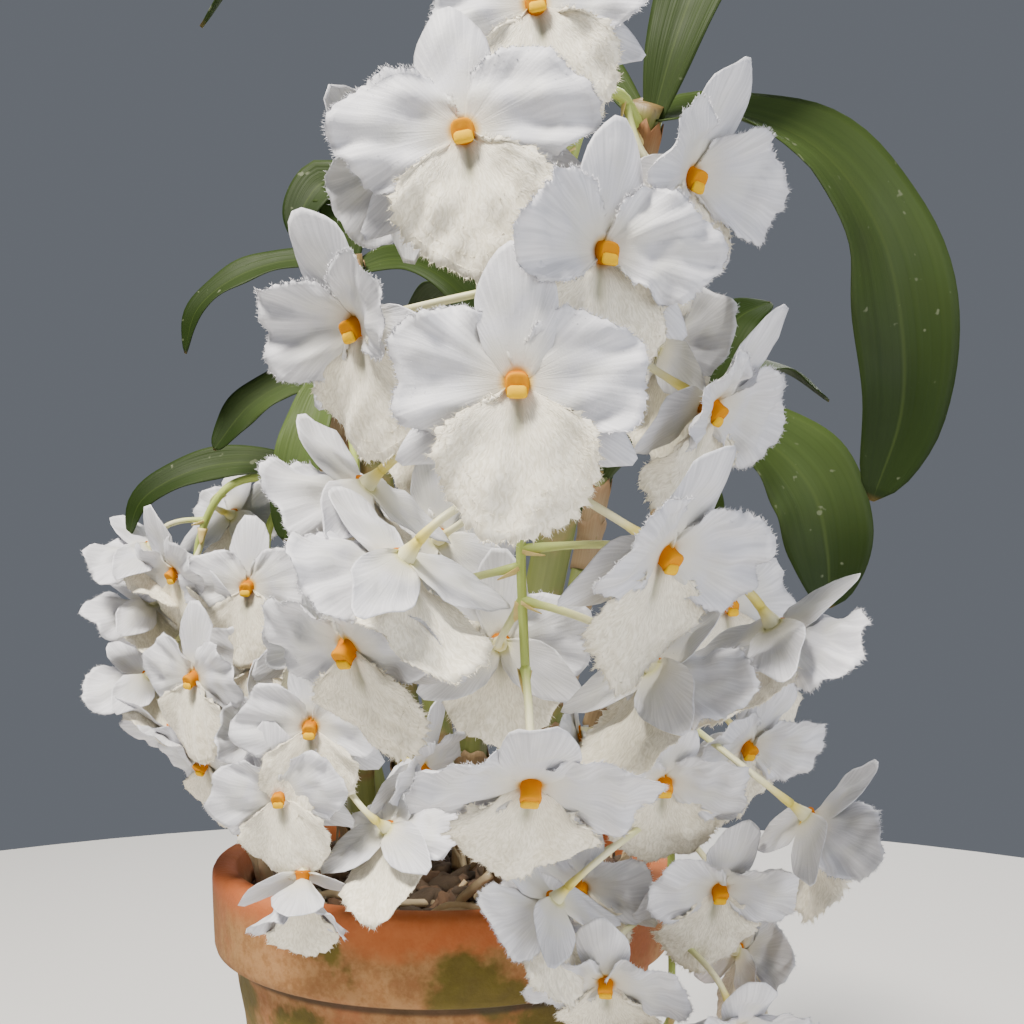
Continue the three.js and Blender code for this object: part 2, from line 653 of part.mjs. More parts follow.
// The potting mix: a mound that fills the pot, with bark chips, stubs and roots standing out of it
function mix() {
  const { rim, collar, collarStep, foot, wall, floor, height } = POT;
  const shoulder = height - collar;
  const body = rim - collarStep - 2;
  const side = body - wall - 2 * GAP;
  const section = [
    [0, floor + GAP], [foot - wall + 3 - 3 * GAP, floor + GAP], [side, shoulder], [side + 2, MIX.top - 4],
    [side * 0.4, MIX.top + MIX.mound], [0, MIX.top + MIX.mound],
  ];
  const profile = section.map(([x, y]) => new THREE.Vector2(x, y));
  const pieces = [solid(new THREE.LatheGeometry(profile, POT.sides).rotateX(Math.PI / 2))];
  for (let i = 0; i < MIX.chips; i += 1) {
    const [long, wide, thick] = MIX.chipSize.map((size) => size * random(0.7, 1.2));
    const chip = new THREE.BoxGeometry(long, wide, thick);
    chip.rotateX(random(-0.5, 0.5));
    chip.rotateY(random(-0.6, 0.6));
    chip.rotateZ(random(0, Math.PI));
    const angle = i * 2.4;
    const reach = MIX.chipReach * Math.sqrt((i + 0.5) / MIX.chips);
    chip.translate(Math.cos(angle) * reach, Math.sin(angle) * reach, MIX.top + random(0, 3));
    pieces.push(solid(chip));
  }
  STUBS.forEach(({ path, radius }) => pieces.push(tube(curveThrough(path), radius, 4, 2)));
  return union(pieces);
}

// What stands already, each with the gap round it that the next piece has to keep
const standing = [];

function clear(made) {
  const box = made.boundingBox();
  const apart = (other) =>
    [0, 1, 2].some((i) => other.min[i] > box.max[i] || other.max[i] < box.min[i]);
  const cut = standing
    .filter((other) => !apart(other.box))
    .reduce((rest, other) => rest.subtract(other.made), made);
  return largest(cut);
}

function keepClear(grown) {
  standing.push({ made: grown, box: grown.boundingBox() });
}

const plant = new THREE.Group();

function add(name, made, colour) {
  const material = new THREE.MeshStandardMaterial({ ...COLOURS[colour], metalness: 0 });
  const mesh = new THREE.Mesh(geometryOf(made), material);
  mesh.name = name;
  plant.add(mesh);
}

add("pot", pot(), "terracotta");

const canes = Object.entries(CANES).map(([name, shape]) => {
  const made = clear(cane(shape));
  keepClear(cane(shape, GAP));
  return [`cane_${name}`, made];
});

add("potting_mix", largest(standing.reduce((rest, other) => rest.subtract(other.made), mix())), "bark");
canes.forEach(([name, made]) => add(name, made, "leaf"));

// The blooms of the two nearest stalks are nodes of their own. On the others they are one with the stalk.
const OWN_BLOOMS = ["front", "right"];
for (const name of OWN_BLOOMS) {
  const shape = STALKS[name];
  add(`stalk_${name}`, clear(stalk(shape)), "stalk");
  keepClear(stalk(shape, { grow: GAP }));
  shape.blooms.forEach((place, i) => {
    add(`bloom_${name}_${String(i + 1).padStart(2, "0")}`, clear(bloom(place)), "bloom");
    keepClear(bloom(place, { grow: GAP }));
  });
}
for (const name of Object.keys(STALKS).filter((key) => !OWN_BLOOMS.includes(key))) {
  const shape = STALKS[name];
  add(`spray_${name}`, clear(spray(shape)), "bloom");
  keepClear(spray(shape, GAP));
}

export default plant;
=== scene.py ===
import functools
import math
from collections import namedtuple

import bpy
import numpy as np
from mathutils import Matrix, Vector


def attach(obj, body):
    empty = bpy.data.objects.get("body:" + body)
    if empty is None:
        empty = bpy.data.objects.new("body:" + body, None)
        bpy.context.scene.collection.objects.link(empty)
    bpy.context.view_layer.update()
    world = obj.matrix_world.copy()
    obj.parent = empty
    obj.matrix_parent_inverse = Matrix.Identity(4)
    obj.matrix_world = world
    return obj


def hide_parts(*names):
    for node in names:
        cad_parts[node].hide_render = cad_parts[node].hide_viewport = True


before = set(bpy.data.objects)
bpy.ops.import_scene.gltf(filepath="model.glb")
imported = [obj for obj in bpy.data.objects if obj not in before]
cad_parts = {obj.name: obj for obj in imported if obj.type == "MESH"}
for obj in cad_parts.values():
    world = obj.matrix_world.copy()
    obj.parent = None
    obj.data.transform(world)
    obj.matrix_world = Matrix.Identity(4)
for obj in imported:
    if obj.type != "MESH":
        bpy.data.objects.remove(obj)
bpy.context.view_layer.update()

MM = 0.001
SEED = 4127
GOLDEN_ANGLE = 2.39996

# The camera that took the photograph, worked out from the pot's rim and the blooms that face it. The focal
# length is in the photograph's own pixels.
PHOTO = {"width": 1024, "focal": 1250, "camera": (25, -473, 265), "pitch": 2.1}
SENSOR = 36.0

# The studio in metres: its round floor, what the lights aim at, and the sky's colour and strength
STUDIO = {"radius": 0.8, "sides": 96, "aim": (0, -0.1, 0.25), "sky": (0.80, 0.87, 1.0, 1), "strength": 0.17}
# Each light's name, place, size, power and colour
LIGHTS = [
    ("key", (-0.42, -0.65, 1.35), 0.3, 48, (1.0, 0.945, 0.86)),
    ("fill", (1.0, -1.0, 0.4), 1.0, 13, (0.94, 0.95, 1.0)),
    ("back", (0.5, 1.0, 1.1), 0.7, 14, (1.0, 0.98, 0.95)),
]

# The sizes that the solids have, and how finely the pieces are made here
POT = {
    "height": 155,
    "rim": 85,
    "collar": 30,
    "collar_step": 6,
    "foot": 54,
    "wall": 9,
    "floor": 12,
    "sides": 144,
    "rings": 24,
    "wobble": 0.25,
    "drain": {"count": 4, "radius": 6, "ring": 27, "sides": 28},
}
# The collar's profile from the shoulder to the inside of the rim, as (in from the rim, up from the shoulder)
COLLAR = [
    (8, -1.2), (7.4, 0.2), (3.2, 0.4), (1.8, 1.4), (1.2, 3.2), (0.9, 8), (0.6, 14), (0.3, 20), (0.1, 25),
    (0.2, 27.4), (1, 29), (2.6, 29.9), (5, 30), (7.6, 29.6), (8.7, 28.2),
]
# Where algae grow on the pot: the middle of each patch and how far it reaches
ALGAE = [
    ((11, -84, 136), 19), ((-30, -78, 137), 12), ((-72, -30, 108), 24), ((-46, -62, 112), 14),
    ((42, -66, 112), 15), ((-66, 44, 128), 18), ((10, 84, 134), 20), ((64, 48, 118), 17),
    ((-20, -68, 60), 24), ((60, 10, 40), 22), ((-50, 40, 50), 24),
]
# The painted shadow under the collar's overhang, a dark line: its lower and its upper edge, in metres
COLLAR_SHADOW_LINE = (0.1205, 0.1262)

# The potting mix, with how many chips, sticks, roots and tufts of moss lie on it, and the blades in a tuft
MIX = {
    "top": 146,
    "mound": 4,
    "edge": 73.2,
    "shoulder": 67.2,
    "rings": 40,
    "sides": 90,
    "chips": 230,
    "sticks": 34,
    "roots": 26,
    "tufts": 50,
    "blades": 9,
}
# Dry stubs and roots that stand in the mix or lie on it, as (path, radius)
STUBS = [
    ([(-60, -28, 138), (-65, -30, 160), (-69, -32, 172)], 1.8),
    ([(-56, -34, 138), (-60, -38, 158), (-61, -39, 168)], 2.2),
    ([(-60, -25, 138), (-66, -27, 158), (-84, -30, 188)], 1.1),
    ([(2, -60, 140), (8, -66, 154), (18, -70, 164)], 1.5),
    ([(-8, -64, 142), (4, -68, 153), (24, -66, 150)], 1.6),
    ([(18, -62, 140), (10, -70, 152), (-12, -70, 147)], 1.3),
    ([(50, 40, 138), (54, 44, 160), (56, 46, 174)], 2.4),
    ([(40, -40, 142), (56, -30, 152), (66, -12, 146)], 1.5),
]

CANE = {"foot": 2.8, "belly": 6.2, "tip": 3.6, "rings": 84, "sides": 16, "node_every": 26}
SHEATH = {"rows": 9, "sides": 18, "thick": 0.3}
LEAF = {"thick": 0.9, "edge": 0.3, "fold": 0.22, "grid": (38, 13)}
LEAF_WIDTHS = [
    (0, 0.26), (0.2, 0.72), (0.4, 0.98), (0.6, 1), (0.8, 0.82), (0.9, 0.6), (0.96, 0.38), (0.99, 0.17),
    (1, 0.04),
]
STALK = {"radius": 1.5, "taper": 0.28, "rings": 90, "sides": 12}
PEDICEL = {"radius": 1.15, "rise": 14, "bend": 0.4, "rings": 18, "sides": 9, "nodes": 41}
BLOOM = {"across": 50, "ovary": 6}
# The column's hood and its cap: rings as (forward, radius), and as (forward, share of the cap's half width).
# The powers say how square they are.
COLUMN = {
    "hood": [
        (0, 2.9), (1, 2.5), (2.5, 2.2), (3.8, 2.2), (4.6, 2.35), (5.1, 2.25), (5.2, 1.9), (5, 1.5),
        (5.1, 0.7),
    ],
    "hood_power": 3.2,
    "lean": 0.25,
    "cap": [(4.4, 0.7), (5, 1), (5.4, 0.95), (5.65, 0.78), (5.75, 0.35)],
    "cap_power": 5,
    "cap_half": 2.0,
    "cap_drop": 2.5,
}


def mirrored(half):
    """A whole outline from its left half, whose last point is in the middle"""
    return [*half, *((-side, out) for side, out in reversed(half[:-1]))]


# A bloom's blades, seen from its front, for a bloom 50 mm across. "edge" is the outline as (side, out).
# "heights" gives how far forward the middle and the edges stand at a distance out, and "widths" how wide half
# of the blade is there. "waves" are (depth, number across), "lobes" is how uneven the outline is, "folds" the
# number of creases and their greatest depth, "crumple" the depth of the dents all over, "teeth" the range of
# the ragged edge, and "hairs" the number and the greatest length of those on the edge and on the face.
PETAL = {
    "kind": "petal",
    "edge": [
        (-1.8, 0.8), (-5.2, 4), (-8.6, 8.8), (-10.8, 13.6), (-11, 18.6), (-8.6, 22.8), (-4, 25.2),
        (1.5, 25.8), (7.2, 24), (11, 20.2), (13, 15.2), (13.2, 10), (10.8, 5.2), (5.6, 2), (1.8, 0.8),
    ],
    "heights": [(0, 1.1, 1.1), (8.8, 1.6, 1.5), (19, 2, 1.2), (26, 1.2, 0.4)],
    "widths": [(0, 3), (8, 9), (16, 13), (32, 10)],
    "waves": [(1.1, 1.6), (0.8, 3.4), (0.35, 8.5)],
    "lobes": 0.1,
    "folds": (2, 1.3),
    "crumple": 0.45,
    "teeth": (0.1, 1),
    "thick": 0.45,
    "streak": 0.02,
    "hairs": {"edge": (330, 1.25), "face": (130, 0.5)},
}
SEPAL = {
    "kind": "sepal",
    "widths": [(0, 3), (12, 8), (30, 5)],
    "lobes": 0.03,
    "folds": (1, 0.7),
    "crumple": 0.25,
    "teeth": (0, 0),
    "thick": 0.5,
    "streak": 0.01,
    "hairs": {},
}
DORSAL = {
    **SEPAL,
    "edge": mirrored([
        (-2.6, 0.8), (-5.8, 5), (-7.6, 10.5), (-8, 15.5), (-7.2, 20), (-5.1, 24), (-2.2, 27), (0, 28),
    ]),
    "heights": [(0, 0.6, 0.6), (6, 0.4, 0.1), (13, -1.1, -2.4), (22, -2.4, -4.6), (28, -4.8, -6)],
    "waves": [(0.7, 1.3), (0.2, 3.7)],
}
LATERAL = {
    **SEPAL,
    "edge": mirrored([
        (-2, 0.8), (-5.6, 5), (-7.6, 11), (-7.3, 16), (-5.2, 21.5), (-2.6, 26.2), (-0.8, 29), (0, 29.8),
    ]),
    "heights": [(0, -0.5, -0.5), (14, -1.9, -3.4), (22, -3, -5.2), (30, -4.6, -6)],
    "waves": [(0.7, 1.2), (0.2, 3.3)],
}
LIP = {
    "kind": "lip",
    "edge": mirrored([
        (-1.8, 1), (-5, 4.2), (-10.8, 6.6), (-14.6, 9.8), (-16.2, 14.2), (-15.8, 18.6), (-13.6, 22.8),
        (-10.2, 26.4), (-6.4, 29), (-2.8, 30.4), (0, 30.8),
    ]),
    "heights": [(0, 1.2, 1.2), (7, 3, 4.6), (12.5, 4, 4.8), (22.5, 5, 3), (31, 4.6, 2.2)],
    "widths": PETAL["widths"],
    "waves": [(0.8, 2.3), (0.4, 5.2), (0.2, 11)],
    "lobes": 0.05,
    "folds": (2, 0.8),
    "crumple": 0.35,
    "teeth": (0, 1.7),
    "thick": 0.5,
    "streak": 0.03,
    "hairs": {"edge": (400, 1.5), "face": (850, 0.75)},
}
# The smooth groove down the lip below the column, and how far out it fades. The lip's finish paints shade
# along it in grey.
GROOVE = {"half": 1.5, "depth": 0.9, "ends": (14, 9)}
# How many ways a blade is crumpled
DENTS = 4
# A hair's least share of the greatest length, its thickness, its sideways spread, and its foot's height
HAIR = {"least": 0.45, "thick": (0.07, 0.12), "spread": 0.6, "lift": {"edge": 0, "face": 0.06}}
# A bloom's blades with the way that each one points in degrees, its share of the forward sweep, and which
# side of it is turned up
Blade = namedtuple("Blade", "name shape points sweep flip")
BLADES = [
    Blade("petal_right", PETAL, 5, 1, -1),
    Blade("dorsal", DORSAL, 90, 1, 1),
    Blade("petal_left", PETAL, 175, 1, 1),
    Blade("lateral_left", LATERAL, 213, 0.5, 1),
    Blade("lip", LIP, 270, 0.15, 1),
    Blade("lateral_right", LATERAL, 327, 0.5, 1),
]
# How finely a bloom is made: rows and columns of its blades, sides of its column, and the share of hairs
FINE = {"petal": (11, 84), "lip": (12, 112), "sepal": (10, 24), "round": 20, "hairs": 1}
COARSE = {"petal": (7, 40), "lip": (7, 52), "sepal": (7, 14), "round": 12, "hairs": 0.28}
# The blooms that the photograph shows little or nothing of, on the stalks whose blooms are their own pieces
HIDDEN = {"front": [15, 16, 17, 18, 19], "right": [9, 10, 11, 12, 13]}

# A leaf's upper face looks along "up" at its base and along "over" at its tip. "tone" is how bright it is,
# and is drawn at random where it isn't given.
Leaf = namedtuple("Leaf", "path half up over tone", defaults=[None])
# A bloom turns to the right of -Y by "turn", looks down by "nod" and leans its top to the right by "roll", in
# degrees. "cup" sweeps its blades forward, and "sweeps" gives that of single blades by their names.
Bloom = namedtuple("Bloom", "at turn nod roll size cup sweeps", defaults=[{}])

# The canes: each one's path from foot to tip, and then its leaves
CANES = {
    "front": [
        [(16, -26, 112), (24, -60, 190), (40, -115, 285), (58, -177, 374)],
        Leaf([(58, -176, 370), (76, -166, 376), (100, -164, 368), (118, -157, 349), (126, -150, 326),
            (127, -146, 303), (120, -143, 280)], half=15, up=(0, -0.5, 0.8), over=(0.1, -1, 0), tone=0.35),
        Leaf([(59, -176, 370), (64, -178, 388), (70, -177, 404), (79, -174, 421), (91, -169, 433),
            (104, -163, 436)], half=9.5, up=(-0.4, -1, 0.2), over=(0, -0.6, 1)),
        Leaf([(57, -176, 369), (46, -170, 386), (30, -166, 402), (8, -166, 414), (-18, -170, 417),
            (-39, -174, 408), (-50, -176, 393)], half=8.5, up=(0, -0.8, 0.6), over=(-0.5, -0.3, 1)),
    ],
    "upper_left": [
        [(-6, -12, 112), (-12, -30, 200), (-20, -55, 290), (-27, -76, 362)],
        Leaf([(-27, -75, 357), (-43, -76, 360), (-62, -76, 355), (-75, -77, 344), (-79, -77, 330)],
            half=6.5, up=(0, -0.7, 0.8), over=(-0.8, -0.7, 0.2)),
        Leaf([(-27, -75, 358), (-29, -72, 372), (-31, -70, 382), (-36, -70, 387), (-42, -72, 379),
            (-44, -74, 367)], half=8.5, up=(0.6, -1, 0.3), over=(-0.6, -1, 0.3)),
        Leaf([(-26, -75, 357), (-12, -68, 362), (4, -60, 356), (16, -52, 340), (22, -46, 322)], half=9,
            up=(0.2, -0.8, 0.8), over=(0.8, -0.8, 0.3)),
    ],
    "right": [
        [(30, -14, 112), (46, -45, 180), (64, -78, 245), (80, -103, 308)],
        Leaf([(80, -103, 304), (90, -102, 304), (104, -101, 297), (115, -100, 284), (119, -99, 268),
            (120, -98, 250)], half=15, up=(0, -0.8, 0.6), over=(0.1, -1, 0.1), tone=0.36),
        Leaf([(79, -101, 305), (92, -94, 320), (108, -88, 323), (124, -84, 314)], half=7, up=(0, -0.2, 1),
            over=(0.4, -0.4, 1)),
        Leaf([(80, -101, 305), (86, -93, 324), (95, -84, 339), (108, -74, 347)], half=7.5,
            up=(0.8, -0.8, 0.3), over=(0.3, -0.5, 1)),
    ],
    "left": [
        [(-22, -14, 112), (-28, -30, 180), (-32, -50, 250), (-34, -67, 322)],
        Leaf([(-34, -67, 318), (-46, -66, 322), (-60, -66, 315), (-72, -67, 300)], half=7.5,
            up=(0, -0.8, 0.7), over=(-0.5, -1, 0.3)),
        Leaf([(-34, -68, 318), (-35, -76, 320), (-38, -83, 308), (-42, -87, 289), (-45, -88, 270)], half=8,
            up=(0, -0.6, 1), over=(-0.3, -1, 0), tone=0.75),
        Leaf([(-34, -66, 318), (-34, -52, 332), (-36, -38, 338), (-38, -20, 334), (-40, -6, 322)], half=8.5,
            up=(0, -0.8, 0.8), over=(0, 0.6, 1)),
    ],
    "low_left": [
        [(-30, 6, 112), (-34, -10, 180), (-38, -28, 240), (-38, -43, 294)],
        Leaf([(-38, -43, 290), (-58, -43, 297), (-76, -42, 297), (-92, -42, 292), (-103, -42, 284),
            (-107, -42, 272)], half=7, up=(0, -0.8, 0.7), over=(-0.6, -0.8, 0.3)),
        Leaf([(-38, -42, 290), (-46, -28, 302), (-56, -12, 304), (-64, 4, 294), (-68, 16, 278)], half=8.5,
            up=(-0.4, -0.6, 1), over=(-0.6, 0.6, 0.6)),
    ],
    "centre": [
        [(6, -4, 112), (10, -14, 190), (16, -28, 270), (22, -40, 345)],
        Leaf([(22, -40, 341), (30, -26, 356), (40, -8, 362), (50, 12, 356), (56, 26, 342)], half=9.5,
            up=(-0.4, -0.8, 0.8), over=(0.4, 0.7, 0.6)),
        Leaf([(22, -41, 341), (36, -46, 352), (54, -50, 352), (70, -50, 342), (80, -48, 328)], half=9,
            up=(0, -0.8, 0.8), over=(0.8, -0.6, 0.5)),
        Leaf([(21, -39, 341), (12, -22, 358), (2, -4, 366), (-8, 16, 362), (-16, 34, 348)], half=9.5,
            up=(0.4, -0.8, 0.8), over=(-0.4, 0.8, 0.5)),
    ],
    "back_left": [
        [(-14, 22, 112), (-30, 34, 170), (-46, 44, 225), (-58, 50, 268)],
        Leaf([(-58, 50, 264), (-72, 56, 276), (-88, 62, 276), (-102, 66, 264), (-110, 68, 246)], half=9.5,
            up=(0.3, -0.3, 1), over=(-1, 0.4, 0.4)),
        Leaf([(-58, 51, 264), (-56, 66, 278), (-54, 84, 280), (-52, 100, 268), (-50, 108, 250)], half=9.5,
            up=(0, -0.4, 1), over=(0, 1, 0.4)),
        Leaf([(-58, 49, 264), (-68, 36, 278), (-78, 22, 280), (-88, 8, 270)], half=8.5, up=(0.3, 0.4, 1),
            over=(-0.8, -0.6, 0.6)),
    ],
    "back_right": [
        [(24, 18, 112), (38, 26, 180), (50, 34, 240), (62, 42, 300)],
        Leaf([(62, 42, 296), (76, 46, 310), (92, 50, 310), (106, 52, 296), (112, 52, 276)], half=10,
            up=(-0.4, -0.2, 1), over=(1, 0.3, 0.4)),
        Leaf([(62, 43, 296), (64, 60, 312), (64, 80, 314), (62, 98, 300), (60, 106, 280)], half=10,
            up=(0, -0.4, 1), over=(0, 1, 0.4)),
        Leaf([(61, 43, 296), (48, 58, 312), (34, 74, 318), (20, 88, 308), (10, 96, 290)], half=9,
            up=(0.4, -0.4, 1), over=(-0.6, 0.8, 0.5)),
        Leaf([(63, 41, 296), (76, 26, 312), (90, 12, 314), (104, 0, 302)], half=8.5, up=(-0.4, 0.4, 1),
            over=(0.8, -0.6, 0.6)),
    ],
    "old": [
        [(2, 36, 112), (-2, 52, 160), (-8, 64, 205), (-14, 72, 240)],
    ],
}

# The stalks: each one's path from its foot, and then its blooms
STALKS = {
    "front": [
        [(56, -176, 368), (50, -183, 374), (43, -190, 368), (38, -193, 354), (32, -193, 325),
            (28, -191, 295), (27, -190, 268), (28, -189, 240)],
        Bloom((26, -224, 300), 0, 0, 0, 50, 0, {"dorsal": 16}),
        Bloom((15, -214, 354), -5, 0, -10, 51, 4),
        Bloom((43, -214, 329), 28, 3, 3, 48, 20, {"lip": -8, "lateral_left": -12}),
        Bloom((30, -205, 385), 0, -2, -11, 46, 0),
        Bloom((29, -209, 219), 0, 46, 7, 49, 10, {"dorsal": 24}),
        Bloom((57, -204, 267), 42, 28, 7, 49, 18),
        Bloom((70, -185, 301), 58, 33, 4, 49, 20),
        Bloom((64, -193, 352), 45, 20, 3, 50, 25),
        Bloom((-8, -199, 317), -45, 20, -5, 49, 25),
        Bloom((-11, -192, 246), -38, 34, -6, 48, 0),
        Bloom((-9, -182, 282), -122, 36, 0, 47, 24),
        Bloom((2, -205, 265), -128, 42, 0, 48, 20),
        Bloom((57, -186, 240), 122, 42, 0, 47, 20),
        Bloom((87, -176, 249), 110, 52, 0, 48, 20),
        Bloom((-2, -176, 360), -150, 0, 60, 44, 0),
        Bloom((62, -160, 318), 120, 6, 0, 45, 8),
        Bloom((22, -152, 243), 176, 0, 0, 44, 4),
        Bloom((6, -152, 270), -165, 6, 0, 44, 6),
        Bloom((6, -150, 306), -155, 0, 0, 45, 6),
    ],
    "right": [
        [(78, -102, 300), (84, -111, 304), (82, -110, 286), (76, -99, 242), (73, -94, 204), (73, -93, 166),
            (73, -93, 128)],
        Bloom((68, -116, 203), 3, 34, 2, 47, 18),
        Bloom((95, -95, 210), 28, 34, 8, 47, 16),
        Bloom((85, -104, 170), 12, 32, 6, 47, 14),
        Bloom((106, -126, 194), 98, 38, 0, 46, 28, {"lip": 30}),
        Bloom((52, -110, 145), -10, 35, 0, 46, 12),
        Bloom((37, -121, 170), -118, 44, 0, 46, 20, {"lip": 25}),
        Bloom((46, -93, 167), -10, 20, 0, 44, 10),
        Bloom((88, -114, 133), 14, 48, 0, 46, 8),
        Bloom((86, -112, 252), 28, 4, 0, 45, 4),
        Bloom((109, -72, 229), 58, 8, 0, 45, 4),
        Bloom((46, -94, 212), -95, 10, 0, 44, 6),
        Bloom((63, -97, 108), -30, 48, 0, 44, 4),
        Bloom((96, -76, 142), 110, 12, 0, 44, 6),
    ],
    "far_left": [
        [(-38, -42, 287), (-50, -53, 292), (-68, -60, 289), (-79, -56, 272), (-81, -49, 246),
            (-80, -46, 222)],
        Bloom((-97, -49, 269), -130, 48, 0, 42, 25),
        Bloom((-98, -46, 250), -124, 46, 0, 42, 25),
        Bloom((-98, -47, 225), -128, 48, 0, 42, 25),
        Bloom((-89, -51, 208), -58, 52, 0, 43, 16),
        Bloom((-85, -61, 261), -42, 26, -6, 42, 12),
        Bloom((-74, -30, 280), 150, 14, 0, 42, 6),
        Bloom((-100, -14, 236), -140, 10, 0, 41, 6),
    ],
    "mid_left": [
        [(-38, -44, 280), (-48, -50, 288), (-57, -50, 276), (-58, -45, 250), (-56, -42, 222),
            (-61, -41, 202)],
        Bloom((-57, -66, 231), 5, 4, 0, 43, 4),
        Bloom((-74, -78, 228), -36, 12, 4, 43, 4),
        Bloom((-74, -66, 200), -40, 34, 0, 44, 0),
        Bloom((-60, -68, 256), -8, 4, 0, 42, 4),
        Bloom((-37, -77, 240), 40, 12, 0, 41, 8),
        Bloom((-46, -18, 216), 150, 10, 0, 42, 6),
    ],
    "near_left": [
        [(-34, -68, 312), (-30, -80, 316), (-24, -88, 300), (-24, -88, 260), (-28, -87, 222),
            (-31, -89, 200), (-35, -94, 182)],
        Bloom((-43, -102, 196), -8, 16, -6, 41, 6),
        Bloom((-37, -99, 172), 4, 66, 0, 42, 50, {"lip": 46}),
        Bloom((-12, -100, 185), 140, 34, 10, 43, 14),
        Bloom((-4, -82, 200), 70, 24, 0, 42, 6),
        Bloom((-34, -104, 216), 0, 8, 0, 43, 4),
        Bloom((-52, -78, 210), -110, 14, 0, 42, 6),
    ],
}

# The numbers that each point of a mesh carries
NUMBERS = ("reach", "ray", "near", "tone", "front")


def unit(way):
    return way / np.maximum(np.linalg.norm(way, axis=-1, keepdims=True), 1e-12)


def around(sides):
    """Angles spread evenly over a whole turn"""
    return np.linspace(0, math.tau, sides, endpoint=False)


def polar(angle, reach, high):
    """A point at an angle and a distance from the pot's axis"""
    return np.array([math.cos(angle) * reach, math.sin(angle) * reach, high])


def smooth(x, knots):
    """A smooth curve through (place, value) knots, level with its neighbours' slope at each"""
    xs, ys = np.array(knots, float).T
    slopes = np.gradient(ys, xs)
    x = np.clip(x, xs[0], xs[-1])
    i = np.clip(np.searchsorted(xs, x) - 1, 0, len(xs) - 2)
    width = xs[i + 1] - xs[i]
    t = (x - xs[i]) / width
    return (
        ys[i] * (2 * t**3 - 3 * t**2 + 1)
        + slopes[i] * width * (t**3 - 2 * t**2 + t)
        + ys[i + 1] * (3 * t**2 - 2 * t**3)
        + slopes[i + 1] * width * (t**3 - t**2)
    )


def ease(low, high, x):
    t = np.clip((x - low) / (high - low), 0, 1)
    return t * t * (3 - 2 * t)


class Path:
    """A smooth curve through points, walked evenly by its length from 0 to 1"""

    def __init__(self, points, samples=60):
        knots = np.array(points, float)
        beyond = np.concatenate([2 * knots[:1] - knots[1:2], knots, 2 * knots[-1:] - knots[-2:-1]])
        t = np.linspace(0, 1, samples, endpoint=False)[:, None]
        pieces = []
        for p0, p1, p2, p3 in zip(beyond, beyond[1:], beyond[2:], beyond[3:]):
            d0, d1, d2 = (math.sqrt(np.linalg.norm(b - a)) for a, b in ((p0, p1), (p1, p2), (p2, p3)))
            t1 = ((p1 - p0) / d0 - (p2 - p0) / (d0 + d1) + (p2 - p1) / d1) * d1
            t2 = ((p2 - p1) / d1 - (p3 - p1) / (d1 + d2) + (p3 - p2) / d2) * d1
            cubic = 2 * p1 - 2 * p2 + t1 + t2
            square = 3 * p2 - 3 * p1 - 2 * t1 - t2
            pieces.append(p1 + t1 * t + square * t**2 + cubic * t**3)
        self.line = np.concatenate([*pieces, knots[-1:]])
        steps = np.linalg.norm(np.diff(self.line, axis=0), axis=1)
        self.far = np.concatenate([[0], np.cumsum(steps)])
        self.length = self.far[-1]

    def at(self, share):
        where = np.clip(share, 0, 1) * self.length
        return np.stack([np.interp(where, self.far, axis) for axis in self.line.T], axis=-1)

    def ahead(self, share, step=0.004):
        return unit(self.at(np.minimum(share + step, 1)) - self.at(np.maximum(share - step, 0)))


@functools.lru_cache
def grid_faces(rows, columns, closed=False):
    """The triangles of a grid of points. They face along columns x rows."""
    r = np.arange(rows - 1)[:, None]
    c = np.arange(columns if closed else columns - 1)[None, :]
    a = r * columns + c
    b = r * columns + (c + 1) % columns
    d = a + columns
    e = b + columns
    return np.concatenate([np.stack(t, -1).reshape(-1, 3) for t in ((a, b, e), (a, e, d))])


@functools.lru_cache
def sheet_faces(rows, columns):
    """The triangles of a closed sheet: a front grid, a back grid and the wall round them"""
    face = grid_faces(rows, columns)
    size = rows * columns
    rim = np.concatenate([
        np.arange(columns),
        np.arange(2, rows + 1) * columns - 1,
        (rows - 1) * columns + np.arange(columns - 2, -1, -1),
        np.arange(rows - 2, 0, -1) * columns,
    ])
    after = np.roll(rim, -1)
    wall = [np.stack(t, -1) for t in ((after, rim, rim + size), (after, rim + size, after + size))]
    return np.concatenate([face, face[:, ::-1] + size, *wall])


